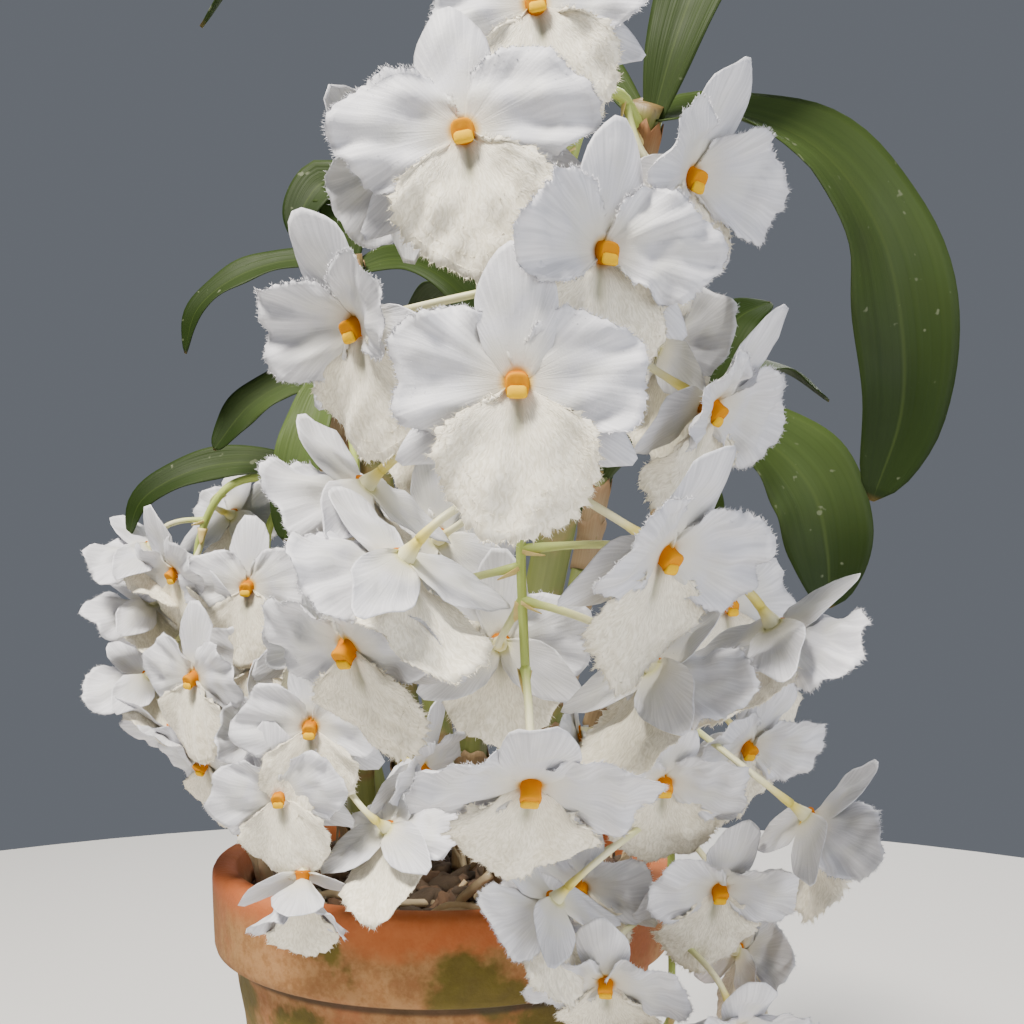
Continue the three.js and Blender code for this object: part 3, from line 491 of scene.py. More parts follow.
class Form:
    """A mesh made piece by piece. Each point carries the numbers that the finishes read."""

    def __init__(self):
        self.points = []
        self.faces = []
        self.looks = []
        self.numbers = {name: [] for name in NUMBERS}
        self.count = 0

    def add(self, points, faces, look, **numbers):
        points = points.reshape(-1, 3)
        self.points.append(points)
        self.faces.append(faces + self.count)
        self.looks.append((look, len(faces)))
        self.count += len(points)
        for name in NUMBERS:
            value = np.asarray(numbers.get(name, 0.0), float)
            self.numbers[name].append(np.broadcast_to(value.ravel(), len(points)))

    def sheet(self, middle, thick, look, **numbers):
        """A closed sheet round a grid of points. The numbers are given for one face."""
        down = np.gradient(middle, axis=0)
        across = np.gradient(middle, axis=1)
        half = unit(np.cross(across, down)) * np.broadcast_to(thick, middle.shape[:2])[..., None] / 2
        points = np.concatenate([(middle + half).reshape(-1, 3), (middle - half).reshape(-1, 3)])
        both = {}
        for name, value in numbers.items():
            both[name] = np.tile(np.broadcast_to(value, middle.shape[:2]).ravel(), 2)
        both["front"] = np.repeat([1.0, 0.0], len(points) // 2)
        self.add(points, sheet_faces(*middle.shape[:2]), look, **both)

    def tube(self, centres, radius, look, sides=10, section=1.0, **numbers):
        """A tube along a line of points, closed at both ends. section is a share of the radius round it."""
        ahead = unit(np.gradient(centres, axis=0))
        side = np.cross(ahead[0], (0, 0, 1))
        if np.linalg.norm(side) < 0.1:
            side = np.cross(ahead[0], (1, 0, 0))
        sideways = []
        for way in ahead:
            side = unit(side - way * np.dot(side, way))
            sideways.append(side)
        side = np.array(sideways)[:, None]
        lift = np.cross(ahead[:, None], side)
        angle = around(sides)[:, None]
        count = len(centres)
        spread = np.broadcast_to(radius, count)[:, None] * np.broadcast_to(section, (count, sides))
        ring = centres[:, None] + spread[..., None] * (np.cos(angle) * side + np.sin(angle) * lift)
        self.rings(ring, look, **numbers)

    def rings(self, rings, look, ends=None, **numbers):
        """A skin over rings of points, closed at both ends: at their middles, or at the points given. A
        number is given for all, for each ring as a list, or for each point as a grid."""
        count, sides = rings.shape[:2]
        if ends is None:
            ends = rings[[0, -1]].mean(1)
        a = np.arange(sides)
        b = (a + 1) % sides
        foot, head = count * sides, count * sides + 1
        last = (count - 1) * sides
        faces = np.concatenate([
            grid_faces(count, sides, closed=True),
            np.stack([np.full(sides, foot), b, a], -1),
            np.stack([np.full(sides, head), a + last, b + last], -1),
        ])
        values = {}
        for name, value in {"reach": np.linspace(0, 1, count), "ray": a[None, :] / sides, **numbers}.items():
            value = np.asarray(value, float)
            if value.ndim == 1:
                value = value[:, None]
            every = np.broadcast_to(value, (count, sides))
            values[name] = np.concatenate([every.ravel(), [every[0].mean(), every[-1].mean()]])
        self.add(np.concatenate([rings.reshape(-1, 3), ends]), faces, look, **values)

    def piece(self, name, slot, *nodes):
        """Makes the mesh, which rides on the plant and stands for the nodes"""
        points = np.concatenate(self.points) * MM
        faces = np.concatenate(self.faces)
        mesh = bpy.data.meshes.new(name)
        mesh.vertices.add(len(points))
        mesh.vertices.foreach_set("co", points.ravel())
        mesh.loops.add(faces.size)
        mesh.loops.foreach_set("vertex_index", faces.ravel())
        mesh.polygons.add(len(faces))
        mesh.polygons.foreach_set("loop_start", np.arange(0, faces.size, 3))
        used = list(dict.fromkeys(look for look, _ in self.looks))
        for look in used:
            mesh.materials.append(finish(look))
        slots = np.concatenate([np.full(count, used.index(look)) for look, count in self.looks])
        mesh.polygons.foreach_set("material_index", slots)
        mesh.update(calc_edges=True)
        for number, values in self.numbers.items():
            attribute = mesh.attributes.new(number, "FLOAT", "POINT")
            attribute.data.foreach_set("value", np.concatenate(values).astype(np.float32))
        mesh.shade_smooth()
        made = bpy.data.objects.new(name, mesh)
        bpy.context.scene.collection.objects.link(made)
        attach(made, "root")
        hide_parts(*nodes)
        return made


# A Mix node's sockets for colours
COLOUR_A, COLOUR_B, COLOUR_OUT = 6, 7, 2


class Finish:
    """A Principled material and the nodes that colour it"""

    def __init__(self, name, roughness=0.6, **settings):
        self.material = bpy.data.materials.new(name)
        self.material.use_nodes = True
        self.nodes = self.material.node_tree.nodes
        self.links = self.material.node_tree.links
        self.shader = self.nodes["Principled BSDF"]
        self.shader.inputs["Roughness"].default_value = roughness
        for key, value in settings.items():
            self.shader.inputs[key.replace("_", " ")].default_value = value

    def put(self, socket, value):
        if isinstance(value, bpy.types.NodeSocket):
            self.links.new(value, socket)
        elif isinstance(value, tuple) and len(value) == 3 and socket.type == "RGBA":
            socket.default_value = (*value, 1)
        else:
            socket.default_value = value

    def fed(self, kind, values):
        """A new node with values or other nodes' outputs in its first sockets"""
        node = self.nodes.new(kind)
        for socket, value in zip(node.inputs, values):
            self.put(socket, value)
        return node

    def numbers(self, *names):
        """The named numbers of the mesh's points"""
        for name in names:
            node = self.nodes.new("ShaderNodeAttribute")
            node.attribute_name = name
            yield node.outputs["Fac"]

    def place(self):
        return self.nodes.new("ShaderNodeTexCoord").outputs["Object"]

    def maths(self, operation, a, b=0.0, clamp=False):
        node = self.fed("ShaderNodeMath", (a, b))
        node.operation = operation
        node.use_clamp = clamp
        return node.outputs[0]

    def times(self, a, b):
        return self.maths("MULTIPLY", a, b)

    def plus(self, a, b, clamp=False):
        return self.maths("ADD", a, b, clamp)

    def spread(self, value, low, high, start=0.0, end=1.0):
        """start below low, end above high, and smooth between"""
        node = self.fed("ShaderNodeMapRange", (value, low, high, start, end))
        node.interpolation_type = "SMOOTHSTEP"
        return node.outputs[0]

    def vector(self, x, y, z=0.0):
        return self.fed("ShaderNodeCombineXYZ", (x, y, z)).outputs[0]

    def noise(self, scale, detail=3.0, where=None, roughness=0.5):
        node = self.nodes.new("ShaderNodeTexNoise")
        self.put(node.inputs["Vector"], self.place() if where is None else where)
        node.inputs["Scale"].default_value = scale
        node.inputs["Detail"].default_value = detail
        node.inputs["Roughness"].default_value = roughness
        return node.outputs["Fac"]

    def lines(self, ray, across, along, detail, offset=0.0):
        """Noise drawn out lengthwise: so many lines across, and what changes along them"""
        return self.noise(1, detail, self.vector(self.times(ray, across), along, offset))

    def distance(self, spot):
        """How far the surface is from a spot, given in millimetres, in metres"""
        node = self.nodes.new("ShaderNodeVectorMath")
        node.operation = "DISTANCE"
        self.put(node.inputs[0], self.place())
        node.inputs[1].default_value = [value * MM for value in spot]
        return node.outputs["Value"]

    def blend(self, share, a, b):
        node = self.nodes.new("ShaderNodeMix")
        node.data_type = "RGBA"
        self.put(node.inputs["Factor"], share)
        self.put(node.inputs[COLOUR_A], a)
        self.put(node.inputs[COLOUR_B], b)
        return node.outputs[COLOUR_OUT]

    def colour(self, value):
        self.put(self.shader.inputs["Base Color"], value)

    def rough(self, value):
        self.put(self.shader.inputs["Roughness"], value)

    def bump(self, height, depth, strength=1.0):
        """Relief of the given depth in millimetres"""
        node = self.nodes.new("ShaderNodeBump")
        node.inputs["Distance"].default_value = depth * MM
        node.inputs["Strength"].default_value = strength
        self.put(node.inputs["Height"], height)
        self.links.new(node.outputs["Normal"], self.shader.inputs["Normal"])


def petal_finish():
    """White, with veins that fan out from the base, and an orange glow round the column"""
    look = Finish("petal", 0.55)
    ray, reach, near, tone, front = look.numbers("ray", "reach", "near", "tone", "front")
    fan = look.lines(ray, 64, look.times(reach, 1.4), 2, tone)
    veins = look.times(look.spread(fan, 0.35, 0.7), look.spread(reach, 0.2, 0.9))
    white = look.blend(veins, (0.60, 0.60, 0.585), (0.75, 0.745, 0.725))
    cool = look.blend(veins, (0.59, 0.592, 0.63), (0.745, 0.745, 0.785))
    cloudy = look.blend(look.spread(look.noise(140, 1), 0.35, 0.65), white, cool)
    outer = look.blend(look.spread(reach, 0.45, 0.95), cloudy, cool)
    cream = look.blend(look.spread(near, 3.5, 12), (0.68, 0.655, 0.56), outer)
    glow = look.blend(front, (0.62, 0.60, 0.30), (0.66, 0.42, 0.01))
    look.colour(look.blend(look.spread(near, 2.2, 4.4), glow, cream))
    look.bump(look.plus(fan, look.times(look.noise(1900, 1), 0.5)), 0.16, 0.7)
    return look


def lip_finish():
    """Cream and woolly, with painted shade, grey, in the smooth groove below the column"""
    look = Finish("lip", 0.8, Sheen_Weight=0.25)
    ray, reach, near, tone, front = look.numbers("ray", "reach", "near", "tone", "front")
    curl = look.plus(look.times(ray, 105), look.times(look.noise(420, 1), 4))
    wool = look.noise(1, 3, look.vector(curl, look.times(reach, 12)), 0.65)
    white = look.blend(look.spread(wool, 0.36, 0.64), (0.76, 0.70, 0.54), (1.0, 0.94, 0.78))
    # Painted shade: the groove below the column is coloured grey
    groove_and_shade = look.blend(tone, white, (0.40, 0.385, 0.27))
    glow = look.blend(front, (0.62, 0.60, 0.30), (0.62, 0.36, 0.01))
    look.colour(look.blend(look.spread(near, 2.2, 4.4), glow, groove_and_shade))
    look.bump(wool, 0.35, 0.8)
    return look


def column_finish():
    """Orange, with painted shade, a dark brown, along its lower rim over the cap"""
    look = Finish("column", 0.7, Specular_IOR_Level=0.05)
    reach, near = look.numbers("reach", "near")
    body = look.blend(look.spread(reach, 0.2, 0.6), (0.52, 0.16, 0.0), (0.64, 0.25, 0.0))
    # The near number marks the painted shade on the hood's lower rim
    look.colour(look.blend(near, body, (0.13, 0.035, 0.003)))
    look.bump(look.noise(900, 2), 0.1, 0.3)
    return look


def stalk_finish():
    """Green, paling to cream along a pedicel and yellow where the bloom joins it"""
    look = Finish("stalk", 0.45)
    ray, near, tone = look.numbers("ray", "near", "tone")
    ribs = look.lines(ray, 14, near, 2)
    green = look.blend(ribs, (0.36, 0.46, 0.08), (0.52, 0.62, 0.17))
    pale = look.blend(look.spread(tone, 0.15, 0.5), green, (0.66, 0.68, 0.30))
    cream = look.blend(look.spread(tone, 0.4, 0.7), pale, (0.80, 0.77, 0.48))
    look.colour(look.blend(look.spread(tone, 0.78, 1.0), cream, (0.76, 0.64, 0.12)))
    look.bump(ribs, 0.15, 0.5)
    return look


def leaf_finish():
    """Dark satin green with a pale midrib, fine lengthwise veins and a few pale spots, paler beneath"""
    look = Finish("leaf", 0.45, Specular_IOR_Level=0.14)
    ray, reach, tone, front = look.numbers("ray", "reach", "tone", "front")
    veins = look.lines(ray, 26, look.times(reach, 0.8), 1, tone)
    cloud = look.noise(45, 4)
    dark = look.blend(veins, (0.010, 0.020, 0.003), (0.018, 0.034, 0.005))
    bright = look.blend(veins, (0.056, 0.088, 0.022), (0.082, 0.122, 0.032))
    lively = look.times(tone, look.spread(reach, 0.4, 0.95, 1.35, 0.3))
    green = look.blend(look.plus(lively, look.times(cloud, 0.15), clamp=True), dark, bright)
    patches = look.times(look.spread(cloud, 0.55, 0.8), 0.5)
    mottled = look.blend(patches, green, (0.040, 0.052, 0.020))
    darker = look.blend(look.spread(reach, 0.5, 0.9, 0, 0.7), mottled, (0.008, 0.019, 0.001))
    off = look.maths("ABSOLUTE", look.maths("SUBTRACT", ray, 0.5))
    rib = look.blend(look.spread(off, 0.006, 0.03, 0.3, 0), darker, (0.070, 0.100, 0.022))
    spots = look.times(look.spread(look.noise(260, 2), 0.70, 0.76), 0.6)
    spotted = look.blend(spots, rib, (0.16, 0.18, 0.11))
    tip = look.blend(look.spread(reach, 0.985, 1.0), spotted, (0.10, 0.07, 0.02))
    under = look.blend(0.35, tip, (0.034, 0.054, 0.012))
    look.colour(look.blend(front, under, tip))
    look.rough(look.spread(cloud, 0.3, 0.7, 0.5, 0.66))
    look.bump(veins, 0.25, 0.6)
    return look


def cane_finish():
    """Yellowish green with lengthwise lines, browner at its nodes"""
    look = Finish("cane", 0.5)
    ray, reach, near = look.numbers("ray", "reach", "near")
    ribs = look.lines(ray, 30, reach, 3)
    green = look.blend(ribs, (0.11, 0.14, 0.030), (0.22, 0.25, 0.070))
    aged = look.blend(look.spread(look.noise(90, 3), 0.45, 0.7), green, (0.30, 0.22, 0.085))
    look.colour(look.blend(near, aged, (0.20, 0.11, 0.04)))
    look.bump(ribs, 0.4, 0.7)
    return look


def sheath_finish():
    """Dry papery tan with long fibres, brown towards its torn edge"""
    look = Finish("sheath", 0.7)
    ray, reach, tone = look.numbers("ray", "reach", "tone")
    fibres = look.lines(ray, 60, reach, 4)
    tan = look.blend(fibres, (0.20, 0.125, 0.055), (0.38, 0.275, 0.15))
    brown = look.blend(look.spread(reach, 0.5, 1.0), tan, (0.27, 0.12, 0.04))
    look.colour(look.blend(tone, tan, brown))
    look.bump(fibres, 0.4, 0.8)
    return look


def terracotta_finish():
    """Weathered clay: orange at the rim, pale with salts, with a painted shadow line under the collar and
    green with algae
    """
    look = Finish("terracotta", 0.85)
    parts = look.fed("ShaderNodeSeparateXYZ", [look.place()])
    high = parts.outputs[2]
    grain = look.noise(700, 4)
    cloud = look.noise(28, 5, roughness=0.6)
    speck = look.noise(190, 4, roughness=0.7)
    uneven = look.maths("SUBTRACT", cloud, 0.5)
    clay = look.blend(grain, (0.26, 0.070, 0.018), (0.42, 0.125, 0.038))
    chalk = look.blend(look.spread(speck, 0.35, 0.65), (0.24, 0.115, 0.036), (0.37, 0.205, 0.080))
    salt = look.blend(look.times(look.spread(cloud, 0.33, 0.57), 0.88), clay, chalk)
    rim = look.spread(look.plus(high, look.times(uneven, 0.03)), 0.141, 0.150)
    fresh = look.blend(look.times(rim, 0.75), salt, (0.44, 0.105, 0.022))
    algae = look.times(look.spread(look.noise(11, 4), 0.46, 0.62), look.spread(high, 0.10, 0.125, 0.8, 0.28))
    ragged = look.times(uneven, 0.09)
    for spot, reach in ALGAE:
        far = look.plus(look.distance(spot), ragged)
        patch = look.spread(far, reach * 0.4 * MM, reach * MM, 1.0, 0.0)
        algae = look.maths("MAXIMUM", algae, patch)
    mossy = look.times(algae, look.spread(high, 0.146, 0.151, 0.92, 0.0))
    green = look.blend(speck, (0.050, 0.042, 0.0), (0.130, 0.108, 0.003))
    # A dark line painted under the collar's overhang stands in for its shadow
    low, top = COLLAR_SHADOW_LINE
    collar_shadow = look.times(look.spread(high, low, low + 0.002), look.spread(high, top - 0.001, top, 0.85, 0.0))
    look.colour(look.blend(collar_shadow, look.blend(mossy, fresh, green), (0.030, 0.018, 0.006)))
    look.rough(look.spread(cloud, 0.3, 0.7, 0.75, 0.95))
    look.bump(look.plus(look.times(grain, 0.4), look.plus(cloud, speck)), 0.6, 0.7)
    return look


def grain_finish(name, roughness, grain, relief, colours, toned=None, **settings):
    """One grain of noise between two colours, and where they are given, towards two others by the tone"""
    look = Finish(name, roughness, **settings)
    scale, detail, rough = grain
    fine = look.noise(scale, detail, roughness=rough)
    shade = look.blend(fine, *colours)
    if toned:
        (tone,) = look.numbers("tone")
        shade = look.blend(tone, shade, look.blend(fine, *toned))
    look.colour(shade)
    look.bump(fine, *relief)
    return look


FINISHES = {
    "petal": petal_finish,
    "lip": lip_finish,
    "column": column_finish,
    "stalk": stalk_finish,
    "leaf": leaf_finish,
    "cane": cane_finish,
    "sheath": sheath_finish,
    "terracotta": terracotta_finish,
}
# Each grain's scale, detail and roughness, and the relief's depth and strength
GRAINS = {
    "cap": {
        "name": "anther_cap", "roughness": 0.7, "grain": (1500, 2, 0.5), "relief": (0.1, 0.3),
        "colours": [(0.76, 0.42, 0.0), (0.86, 0.50, 0.0)], "Specular_IOR_Level": 0.05,
    },
    "bract": {
        "name": "bract", "roughness": 0.6, "grain": (500, 3, 0.5), "relief": (0.2, 0.5),
        "colours": [(0.62, 0.42, 0.10), (0.80, 0.68, 0.30)],
    },
    "bark": {
        "name": "bark", "roughness": 0.9, "grain": (300, 5, 0.65), "relief": (0.8, 0.8),
        "colours": [(0.022, 0.015, 0.009), (0.080, 0.052, 0.030)],
        "toned": [(0.060, 0.032, 0.017), (0.17, 0.095, 0.050)],
    },
    "root": {
        "name": "root", "roughness": 0.8, "grain": (350, 4, 0.5), "relief": (0.4, 0.7),
        "colours": [(0.42, 0.30, 0.16), (0.62, 0.50, 0.30)],
        "toned": [(0.16, 0.13, 0.09), (0.34, 0.30, 0.22)],
    },
    "moss": {
        "name": "moss", "roughness": 0.8, "grain": (400, 3, 0.5), "relief": (0.3, 0.5),
        "colours": [(0.025, 0.06, 0.010), (0.09, 0.15, 0.025)],
    },
}


@functools.lru_cache
def finish(name):
    look = grain_finish(**GRAINS[name]) if name in GRAINS else FINISHES[name]()
    return look.material


def bloom_scale(place):
    return place.size / BLOOM["across"]


def bloom_axes(place):
    """Right and up as the bloom's own face sees them, and the way that it faces"""
    t, n, r = (math.radians(angle) for angle in (place.turn, place.nod, place.roll))
    facing = np.array([math.sin(t) * math.cos(n), -math.cos(t) * math.cos(n), -math.sin(n)])
    level = np.array([math.cos(t), math.sin(t), 0])
    upright = np.cross(facing, level)
    right = level * math.cos(r) - upright * math.sin(r)
    up = upright * math.cos(r) + level * math.sin(r)
    return np.array([right, up, facing])


def stand(place, local):
    """Points of a bloom 50 mm across, seen from its front, set where the bloom stands"""
    return np.array(place.at, float) + bloom_scale(place) * local @ bloom_axes(place)


def hairs(form, grid, shape, look, rng, share, near):
    """Fine hairs that stand out from a blade's edge, and on its face lean towards the edge"""
    rows, columns = grid.shape[:2]
    down = unit(np.gradient(grid, axis=0))
    across = unit(np.gradient(grid, axis=1))
    normal = unit(np.cross(across, down))
    for kind, (number, longest) in shape["hairs"].items():
        count = round(number * min(share, 1))
        if kind == "edge":
            row = np.full(count, rows - 1)
            rise = rng.normal(0, 0.4, count)
        else:
            row = np.round(np.sqrt(rng.uniform(0.1, 0.97, count)) * (rows - 1)).astype(int)
            rise = rng.uniform(0.4, 1.2, count)
        column = rng.uniform(0.03, 0.97, count) * (columns - 1)
        left = np.floor(column).astype(int)
        between = (column - left)[:, None]
        out, side, up = (way[row, left] for way in (down, across, normal))
        foot = grid[row, left] * (1 - between) + grid[row, left + 1] * between + up * HAIR["lift"][kind]
        length = longest * (HAIR["least"] + (1 - HAIR["least"]) * rng.random(count))
        way = unit(out + side * rng.normal(0, HAIR["spread"], count)[:, None] + up * rise[:, None])
        thick = rng.uniform(*HAIR["thick"], count)[:, None]
        corners = np.stack([
            foot + side * thick,
            foot - side * thick,
            foot + up * thick * 1.4,
            foot + way * length[:, None],
        ], 1)
        first = 4 * np.arange(count)[:, None, None]
        faces = (first + np.array([[0, 1, 2], [1, 0, 3], [2, 1, 3], [0, 2, 3]])).reshape(-1, 3)
        values = {"ray": np.repeat(column / columns, 4), "near": np.repeat(near[row, left], 4)}
        form.add(corners, faces, look, reach=1.0, front=1.0, **values)


def flat_blade(shape, flip, ray, reach, rng):
    """A blade pressed flat, as a grid of (side, out): a fan of rays from its base to its ragged edge"""
    edge = np.array(shape["edge"], float) * (flip, 1)
    margin = Path(edge[::flip]).at(ray)
    uneven = 0
    for turns in ((1, 2.5), (3, 5)):
        uneven = uneven + np.sin(math.tau * (rng.uniform(*turns) * ray + rng.random()))
    margin = margin * (1 + shape["lobes"] * uneven * np.sin(math.pi * ray) / 2)[:, None]
    base = np.linspace(margin[0], (margin[-1, 0], margin[0, 1]), len(ray))
    flat = base + (margin - base) * reach[..., None]
    least, most = shape["teeth"]
    if most:
        teeth = least + (most - least) * rng.random(len(ray)) ** 1.5
        teeth *= ease(0, 0.06, ray) * ease(1, 0.94, ray)
        tip = shape["edge"][len(shape["edge"]) // 2]
        flat[-1] += unit(margin - (0, tip[1] * 0.5)) * teeth[:, None]
    return flat


def blade_rise(shape, side, out, ray, reach, rng):
    """How far forward a blade stands: its own curve with waves, creases, dents and fine streaks"""
    middle, outer = (smooth(out, [(row[0], row[k]) for row in shape["heights"]]) for k in (1, 2))
    rise = middle + (outer - middle) * np.clip(side / smooth(out, shape["widths"]), -1.2, 1.2) ** 2
    for depth, number in shape["waves"]:
        phase = rng.random()
        crest = np.sin(math.tau * (number * rng.uniform(0.85, 1.15) * ray + phase))
        rise = rise + depth * rng.uniform(0.7, 1.3) * crest * reach**2
    count, deepest = shape["folds"]
    for _ in range(count):
        crease = rng.uniform(0.12, 0.88)
        width = rng.uniform(0.025, 0.07)
        deep = rng.uniform(-1, 1) * deepest
        rise = rise + deep * np.exp(-(((ray - crease) / width) ** 2)) * ease(0.2, 0.95, reach)
    body = ease(0.15, 0.6, reach)
    for _ in range(DENTS):
        heading, length, phase = rng.uniform(0, math.pi), rng.uniform(7, 13), rng.uniform(0, math.tau)
        across = side * math.cos(heading) + out * math.sin(heading)
        rise = rise + shape["crumple"] * np.sin(math.tau * across / length + phase) * body
    return rise + shape["streak"] * rng.normal(0, 1, len(ray)) * body


def blade(form, place, part, rng, detail):
    """One petal, sepal or lip with its hairs"""
    shape = part.shape
    lip = shape["kind"] == "lip"
    look = "lip" if lip else "petal"
    rows, columns = detail[shape["kind"]]
    ray = np.linspace(0, 1, columns)
    reach = np.append(np.linspace(0, 0.95, rows - 1), 1.0)[:, None]
    side, out = np.moveaxis(flat_blade(shape, part.flip, ray, reach, rng), -1, 0)
    rise = blade_rise(shape, side, out, ray, reach, rng)
    if lip:
        groove_and_shade = np.exp(-((side / GROOVE["half"]) ** 2)) * ease(*GROOVE["ends"], out)
        rise = rise - GROOVE["depth"] * groove_and_shade
    cup = math.radians(place.sweeps.get(part.name, place.cup * part.sweep))
    way = math.radians(part.points)
    far = np.hypot(side, out)
    turn = np.arctan2(side, out) / math.cos(cup)
    level = far * math.cos(cup) - rise * math.sin(cup)
    along, beside = level * np.cos(turn), level * np.sin(turn)
    middle = stand(place, np.stack([
        math.cos(way) * along + math.sin(way) * beside,
        math.sin(way) * along - math.cos(way) * beside,
        rise * math.cos(cup) + far * math.sin(cup),
    ], -1))
    scale = bloom_scale(place)
    thick = shape["thick"] * (1 - 0.65 * ease(0.5, 1, reach)) * scale
    hairs(form, middle, shape, look, rng, detail["hairs"] * scale, far)
    # On the lip the tone is the groove, which the lip's finish paints grey as shade
    tone = groove_and_shade if lip else rng.random()
    form.sheet(middle, thick, look, reach=reach, ray=ray, near=far, tone=tone)


def rounded_square(angle, power):
    """A ring between a circle, at the power of 2, and a square"""
    reach = 1 / (np.abs(np.cos(angle)) ** power + np.abs(np.sin(angle)) ** power) ** (1 / power)
    return reach * np.cos(angle), reach * np.sin(angle)


def column(form, place, detail):
    """The column: an orange hood with painted shade along its lower rim, and the yellow cap across its lower
    half
    """
    angle = around(detail["round"])
    wide, tall = rounded_square(angle, COLUMN["hood_power"])
    forward, radius = np.array(COLUMN["hood"], float).T[..., None]
    brim = 0.5 * ease(3.2, 5, forward) * np.sin(angle)
    hood = np.stack([radius * wide, radius * tall * 1.08 - COLUMN["lean"] * forward, forward + brim], -1)
    # Painted shade: the hood's lower front rim, over the cap, is coloured dark
    dark = ease(4.4, 5.1, forward) * ease(-0.2, -0.9, np.sin(angle)) * (radius > 1.5)
    form.rings(stand(place, hood), "column", near=dark)
    wide, tall = rounded_square(angle, COLUMN["cap_power"])
    forward, share = np.array(COLUMN["cap"], float).T[..., None]
    half = COLUMN["cap_half"]
    cap = np.stack([
        share * (half - 0.15 * np.sin(angle)) * wide,
        share * half * 0.66 * tall - COLUMN["cap_drop"],
        forward + 0.12 * np.cos(2 * angle) * share,
    ], -1)
    form.rings(stand(place, cap), "cap")


def bloom(form, place, rng, detail):
    """A bloom with its blades, its column and its ovary"""
    for part in BLADES:
        blade(form, place, part, rng, detail)
    column(form, place, detail)
    back = np.linspace(0.8, -BLOOM["ovary"], 7)
    centres = np.array(place.at, float) + bloom_scale(place) * back[:, None] * bloom_axes(place)[2]
    radius = smooth(back, [(-6, 1.2), (-4, 1.5), (-1.5, 2.2), (0.8, 2.7)]) * bloom_scale(place)
    form.tube(centres, radius, "stalk", sides=max(8, detail["round"] // 2), tone=np.linspace(0.7, 1.0, 7))


def bract(form, node, way, rng, rows=6, columns=5):
    """A small dry scale under a pedicel's foot"""
    down = np.linspace(0, 1, rows)[:, None]
    side = unit(np.cross(way, (0.1, 0.2, 1)))
    under = np.cross(side, way)
    length = rng.uniform(4.5, 6.5)
    across = (1.7 * (1 - down) ** 0.7 + 0.08) * np.linspace(-1, 1, columns)
    low = 1.2 - 0.27 * across**2 + 0.8 * down
    points = node + way * (down * length)[..., None] + side * across[..., None] - under * low[..., None]
    form.sheet(points, 0.25, "bract", reach=down)


def pedicel(form, place, line, rng):
    """A pedicel from the nearest stretch of the stalk, a little above the bloom, to the end of its ovary"""
    facing = bloom_axes(place)[2]
    end = np.array(place.at, float) - facing * BLOOM["ovary"] * bloom_scale(place)
    nodes = line.at(np.linspace(0, 1, PEDICEL["nodes"]))
    node = nodes[np.argmin(np.linalg.norm(nodes - (end + (0, 0, PEDICEL["rise"])), axis=1))]
    bend = end - facing * PEDICEL["bend"] * np.linalg.norm(node - end)
    t = np.linspace(0, 1, PEDICEL["rings"])
    route = np.outer((1 - t) ** 2, node) + np.outer(2 * t * (1 - t), bend) + np.outer(t**2, end)
    radius = PEDICEL["radius"] * (0.82 + 0.3 * ease(0.8, 1, t) + 0.35 * ease(0.12, 0, t))
    form.tube(route, radius, "stalk", sides=PEDICEL["sides"], tone=0.15 + 0.85 * t**0.8)
    bract(form, node, unit(bend - node), rng)


def stalk(form, path, blooms, rng):
    """The stalk's own stem and its pedicels"""
    line = Path(path)
    share = np.linspace(0, 1, STALK["rings"])
    radius = STALK["radius"] * (1 - STALK["taper"] * share)
    numbers = {"tone": 0.12 * share + 0.02, "near": share * 8}
    form.tube(line.at(share), radius, "stalk", sides=STALK["sides"], **numbers)
    for place in blooms:
        pedicel(form, place, line, rng)


def leaf(form, shape, rng):
    """A ribbed leaf that folds up a little along its midrib and waves at its edges"""
    rows, columns = LEAF["grid"]
    line = Path(shape.path)
    along = np.linspace(0, 1, rows)[:, None]
    across = np.linspace(-1, 1, columns)[None, :]
    up, over = (unit(np.array(way, float)) for way in (shape.up, shape.over))
    ahead = line.ahead(along)
    right = unit(np.cross(ahead, up * (1 - along[..., None]) + over * along[..., None]))
    normal = unit(np.cross(right, ahead))
    half = shape.half * smooth(along, LEAF_WIDTHS)
    phase, turns = rng.random(), rng.uniform(2, 3.5)
    wave = 0.06 * half * np.sin(math.tau * (turns * along + phase)) * across**3
    lift = half * (LEAF["fold"] * 1.1 * np.abs(across) ** 1.35) + wave
    points = line.at(along) + right * (half * across)[..., None] + normal * lift[..., None]
    thick = LEAF["thick"] - (LEAF["thick"] - LEAF["edge"]) * across**2
    drawn = rng.uniform(0.02, 0.3)
    tone = drawn if shape.tone is None else shape.tone
    form.sheet(points, thick, "leaf", reach=along, ray=(across + 1) / 2, tone=tone)


def cane_radius(along):
    foot, tip = CANE["foot"] / CANE["belly"], CANE["tip"] / CANE["belly"]
    straight = foot + (tip - foot) * along
    belly = np.sin(math.pi * np.minimum(1, along * 0.9 + 0.05)) ** 0.8
    return CANE["belly"] * (straight + belly * (1 - straight))


def sheath(form, line, start, end, rng, tone):
    """A dry sleeve round a stretch of cane, torn along its upper edge"""
    sides = SHEATH["sides"]
    share = np.linspace(0, 1, SHEATH["rows"])[:, None]
    where = start + (end - start) * share
    ahead = line.ahead(where)
    side = unit(np.cross(ahead, (0.3, 0.9, 0.1)))
    lift = np.cross(ahead, side)
    angle = np.linspace(0, math.tau, sides)[:, None]
    torn = rng.uniform(0, 0.9, sides)
    spread = cane_radius(where) * 0.9 + 0.5 + ease(0.6, 1, share) * rng.uniform(0.2, 1.2, sides)
    back = line.length * (end - start) * ease(0.5, 1, share) * torn * 0.25
    ring = line.at(where) + spread[..., None] * (np.cos(angle) * side + np.sin(angle) * lift)
    ring = ring - ahead * back[..., None]
    ray = np.linspace(0, 1, sides)
    form.sheet(ring[:, ::-1], SHEATH["thick"], "sheath", reach=share, ray=ray, tone=tone)


